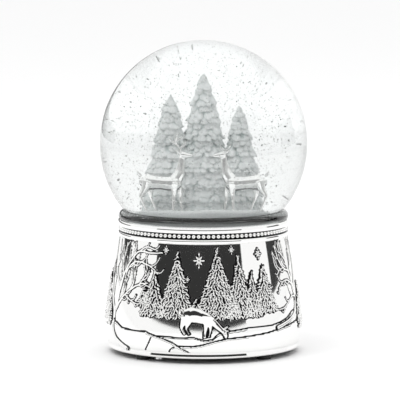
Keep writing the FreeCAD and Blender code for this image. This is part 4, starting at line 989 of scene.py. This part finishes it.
def flakes():
    # thin six-sided plates at random places and turns in the water
    count = 5400
    spot = rng.normal(size=(count, 3))
    spot = unit(spot) * (46.6 * rng.uniform(0.02, 1, (count, 1)) ** (1 / 2.6))
    spot[:, 2] += ball["middle"]
    spot = spot[spot[:, 2] > ball["moundTop"] + 0.8]
    settled = rng.uniform(-1, 1, (1100, 2)) * 25.5
    settled = settled[np.linalg.norm(settled, axis=1) < 25.5]
    spot = np.concatenate([spot, np.concatenate([settled, np.full((len(settled), 1),
                                                                  ball["moundTop"] + 0.35)], -1)])
    count = len(spot)
    normal = unit(rng.normal(size=(count, 3)))
    side = unit(np.cross(normal, rng.normal(size=(count, 3))))
    other = np.cross(normal, side)
    size = rng.uniform(0.12, 0.26, (count, 1, 1))
    angle = np.linspace(0, 2 * np.pi, 6, endpoint=False)[None, :, None]
    ring = spot[:, None] + size * (np.cos(angle) * side[:, None] + np.sin(angle) * other[:, None])
    thick = 0.045 * normal[:, None]
    points = np.concatenate([ring + thick, ring - thick], 1)
    offset = (np.arange(count) * 12)[:, None, None]
    j = np.arange(6)
    wall = np.stack([j, j + 6, (j + 1) % 6 + 6, (j + 1) % 6], -1)
    faces = np.array([[0, 1, 2, 3], [0, 3, 4, 5], [9, 8, 7, 6], [11, 10, 9, 6]])
    clay = Clay()
    # about 45 in 100 flakes are painted darker grey, a painted reflection of dark surroundings on silver
    # flakes
    dark = np.repeat(np.where(rng.random(count) < 0.45, 0.46, 0.0), 12)
    clay.add(points, np.concatenate([faces, wall])[None] + offset, dark=dark)
    piece = clay.make("driftingFlakes", glitter)
    piece.data.polygons.foreach_set("use_smooth", np.zeros(len(piece.data.polygons), bool))
    return put(piece, "silver_paint")


flakes()
print("stage: flakes made")


def floorFinish():
    # pale, and greyer where it is seen through the ball
    material, tree, shader = newMaterial("paleFloor")
    rays = node(tree, "ShaderNodeLightPath")
    near, through = (0.93, 0.93, 0.93, 1), (0.9, 0.9, 0.905, 1)
    tint = blend(tree, "RGBA", rays.outputs["Is Transmission Ray"], near, through)
    tree.links.new(tint, shader.inputs["Base Color"])
    shader.inputs["Roughness"].default_value = 0.6
    return material


def skyFinish():
    # white to the camera; through the ball the sides are grey and the camera's side is dark
    world = bpy.data.worlds.new("studio")
    bpy.context.scene.world = world
    world.use_nodes = True
    tree = world.node_tree
    place = node(tree, "ShaderNodeTexCoord")
    split = node(tree, "ShaderNodeSeparateXYZ")
    tree.links.new(place.outputs["Generated"], split.inputs[0])

    def mapped(source, low, high, start, end):
        made = node(tree, "ShaderNodeMapRange", interpolation_type="SMOOTHSTEP")
        for key, value in (("From Min", low), ("From Max", high), ("To Min", start), ("To Max", end)):
            made.inputs[key].default_value = value
        tree.links.new(source, made.inputs["Value"])
        return made.outputs["Result"]

    def joined(operation, a, b):
        made = node(tree, "ShaderNodeMath", operation=operation)
        for socket, value in zip(made.inputs, (a, b)):
            if isinstance(value, float):
                socket.default_value = value
            else:
                tree.links.new(value, socket)
        return made.outputs[0]

    behind = mapped(split.outputs["Y"], studioLevels["sideFrom"], studioLevels["sideTo"],
                    studioLevels["side"], 1.0)
    overhead = mapped(split.outputs["Z"], 0.25, 0.7, 0.0, 1.0)
    around = joined("MAXIMUM", behind, overhead)
    front = mapped(split.outputs["Y"], -0.85, -0.55, 1.0, 0.0)
    low = mapped(split.outputs["Z"], 0.2, 0.4, 1.0, 0.0)
    shade = joined("MULTIPLY", joined("MULTIPLY", front, low), studioLevels["dark"])
    through = joined("SUBTRACT", around, joined("MULTIPLY", shade, around))
    rays = node(tree, "ShaderNodeLightPath")
    seen = blend(tree, "FLOAT", rays.outputs["Is Transmission Ray"], studioLevels["sky"], through)
    tree.links.new(seen, tree.nodes["Background"].inputs["Strength"])
    tree.nodes["Background"].inputs["Color"].default_value = (1, 1, 1, 1)


studioLevels = {"sky": 1.02, "side": 0.5, "sideFrom": 0.25, "sideTo": 0.8, "dark": 0.45, "key": 5.0,
                "top": 4.0}


def card(name, level):
    # an even glow of one grey level
    material = bpy.data.materials.new(name)
    material.use_nodes = True
    tree = material.node_tree
    tree.nodes.clear()
    glow = node(tree, "ShaderNodeEmission", Color=(level, level, level, 1), Strength=1.0)
    out = node(tree, "ShaderNodeOutputMaterial")
    tree.links.new(glow.outputs[0], out.inputs["Surface"])
    return material


def flag(name, azimuth, elevation, distance, level):
    # a curved card round the object that only reflections see; azimuth 0 is at the camera
    a = np.radians(np.linspace(*azimuth, 25))[None]
    e = np.radians(np.linspace(*elevation, 5))[:, None]
    height = 0.045 / mm + distance * np.tan(e)
    x, y = distance * np.sin(a) + 0 * e, -distance * np.cos(a) + 0 * e
    clay = Clay()
    clay.add(np.stack([x, y, height + 0 * a], -1), weave(5, 25))
    piece = clay.make(name, card(name + "Card", level))
    for ray in ("camera", "diffuse", "transmission", "volume_scatter", "shadow"):
        setattr(piece, "visible_" + ray, False)
    return piece


def softbox(name, place, aim, size, power):
    light = bpy.data.lights.new(name, "AREA")
    light.shape, light.size, light.energy = "DISK", size, power
    lamp = bpy.data.objects.new(name, light)
    bpy.context.scene.collection.objects.link(lamp)
    direction = np.array(aim, float) - np.array(place, float)
    lamp.location = place
    lamp.rotation_euler = (math.acos(-direction[2] / np.linalg.norm(direction)), 0,
                           math.atan2(direction[0], -direction[1]) + math.pi)
    lamp.visible_glossy = False
    lamp.visible_transmission = False
    return lamp


def studio():
    clay = Clay()
    spun(clay, [(0.0, 0.0), (400.0, 0.0), (3500.0, 0.0)][::-1], 64)
    studioGround = clay.make("studioFloor", floorFinish())
    studioGround.data.flip_normals()
    skyFinish()
    flag("frontFlag", (-64, 51), (0.75, 17), 900, 0.035)
    flag("leftFlag", (-178, -114), (1.5, 10), 900, 0.05)
    flag("rightFlag", (93, 120), (1.5, 17), 900, 0.05)
    softbox("keyLight", (-0.7, -0.6, 1.3), (0, 0, 0.06), 0.9, studioLevels["key"])
    softbox("topLight", (0.3, 0.2, 1.6), (0, 0, 0.05), 1.0, studioLevels["top"])


def camera():
    # looks slightly down, the ball's axis a little right of the middle
    shift = -1.7 * mm
    made = bpy.data.cameras.new("camera")
    made.lens, made.sensor_width = 300.0, 36.0
    view = bpy.data.objects.new("camera", made)
    bpy.context.scene.collection.objects.link(view)
    view.location = (shift, -1.6, 0.25)
    view.rotation_euler = (math.pi / 2 - math.atan2(0.25 - 0.073, 1.6), 0, 0)
    bpy.context.scene.camera = view


studio()
camera()
bpy.context.scene.view_settings.view_transform = "Standard"
print("stage: studio made")
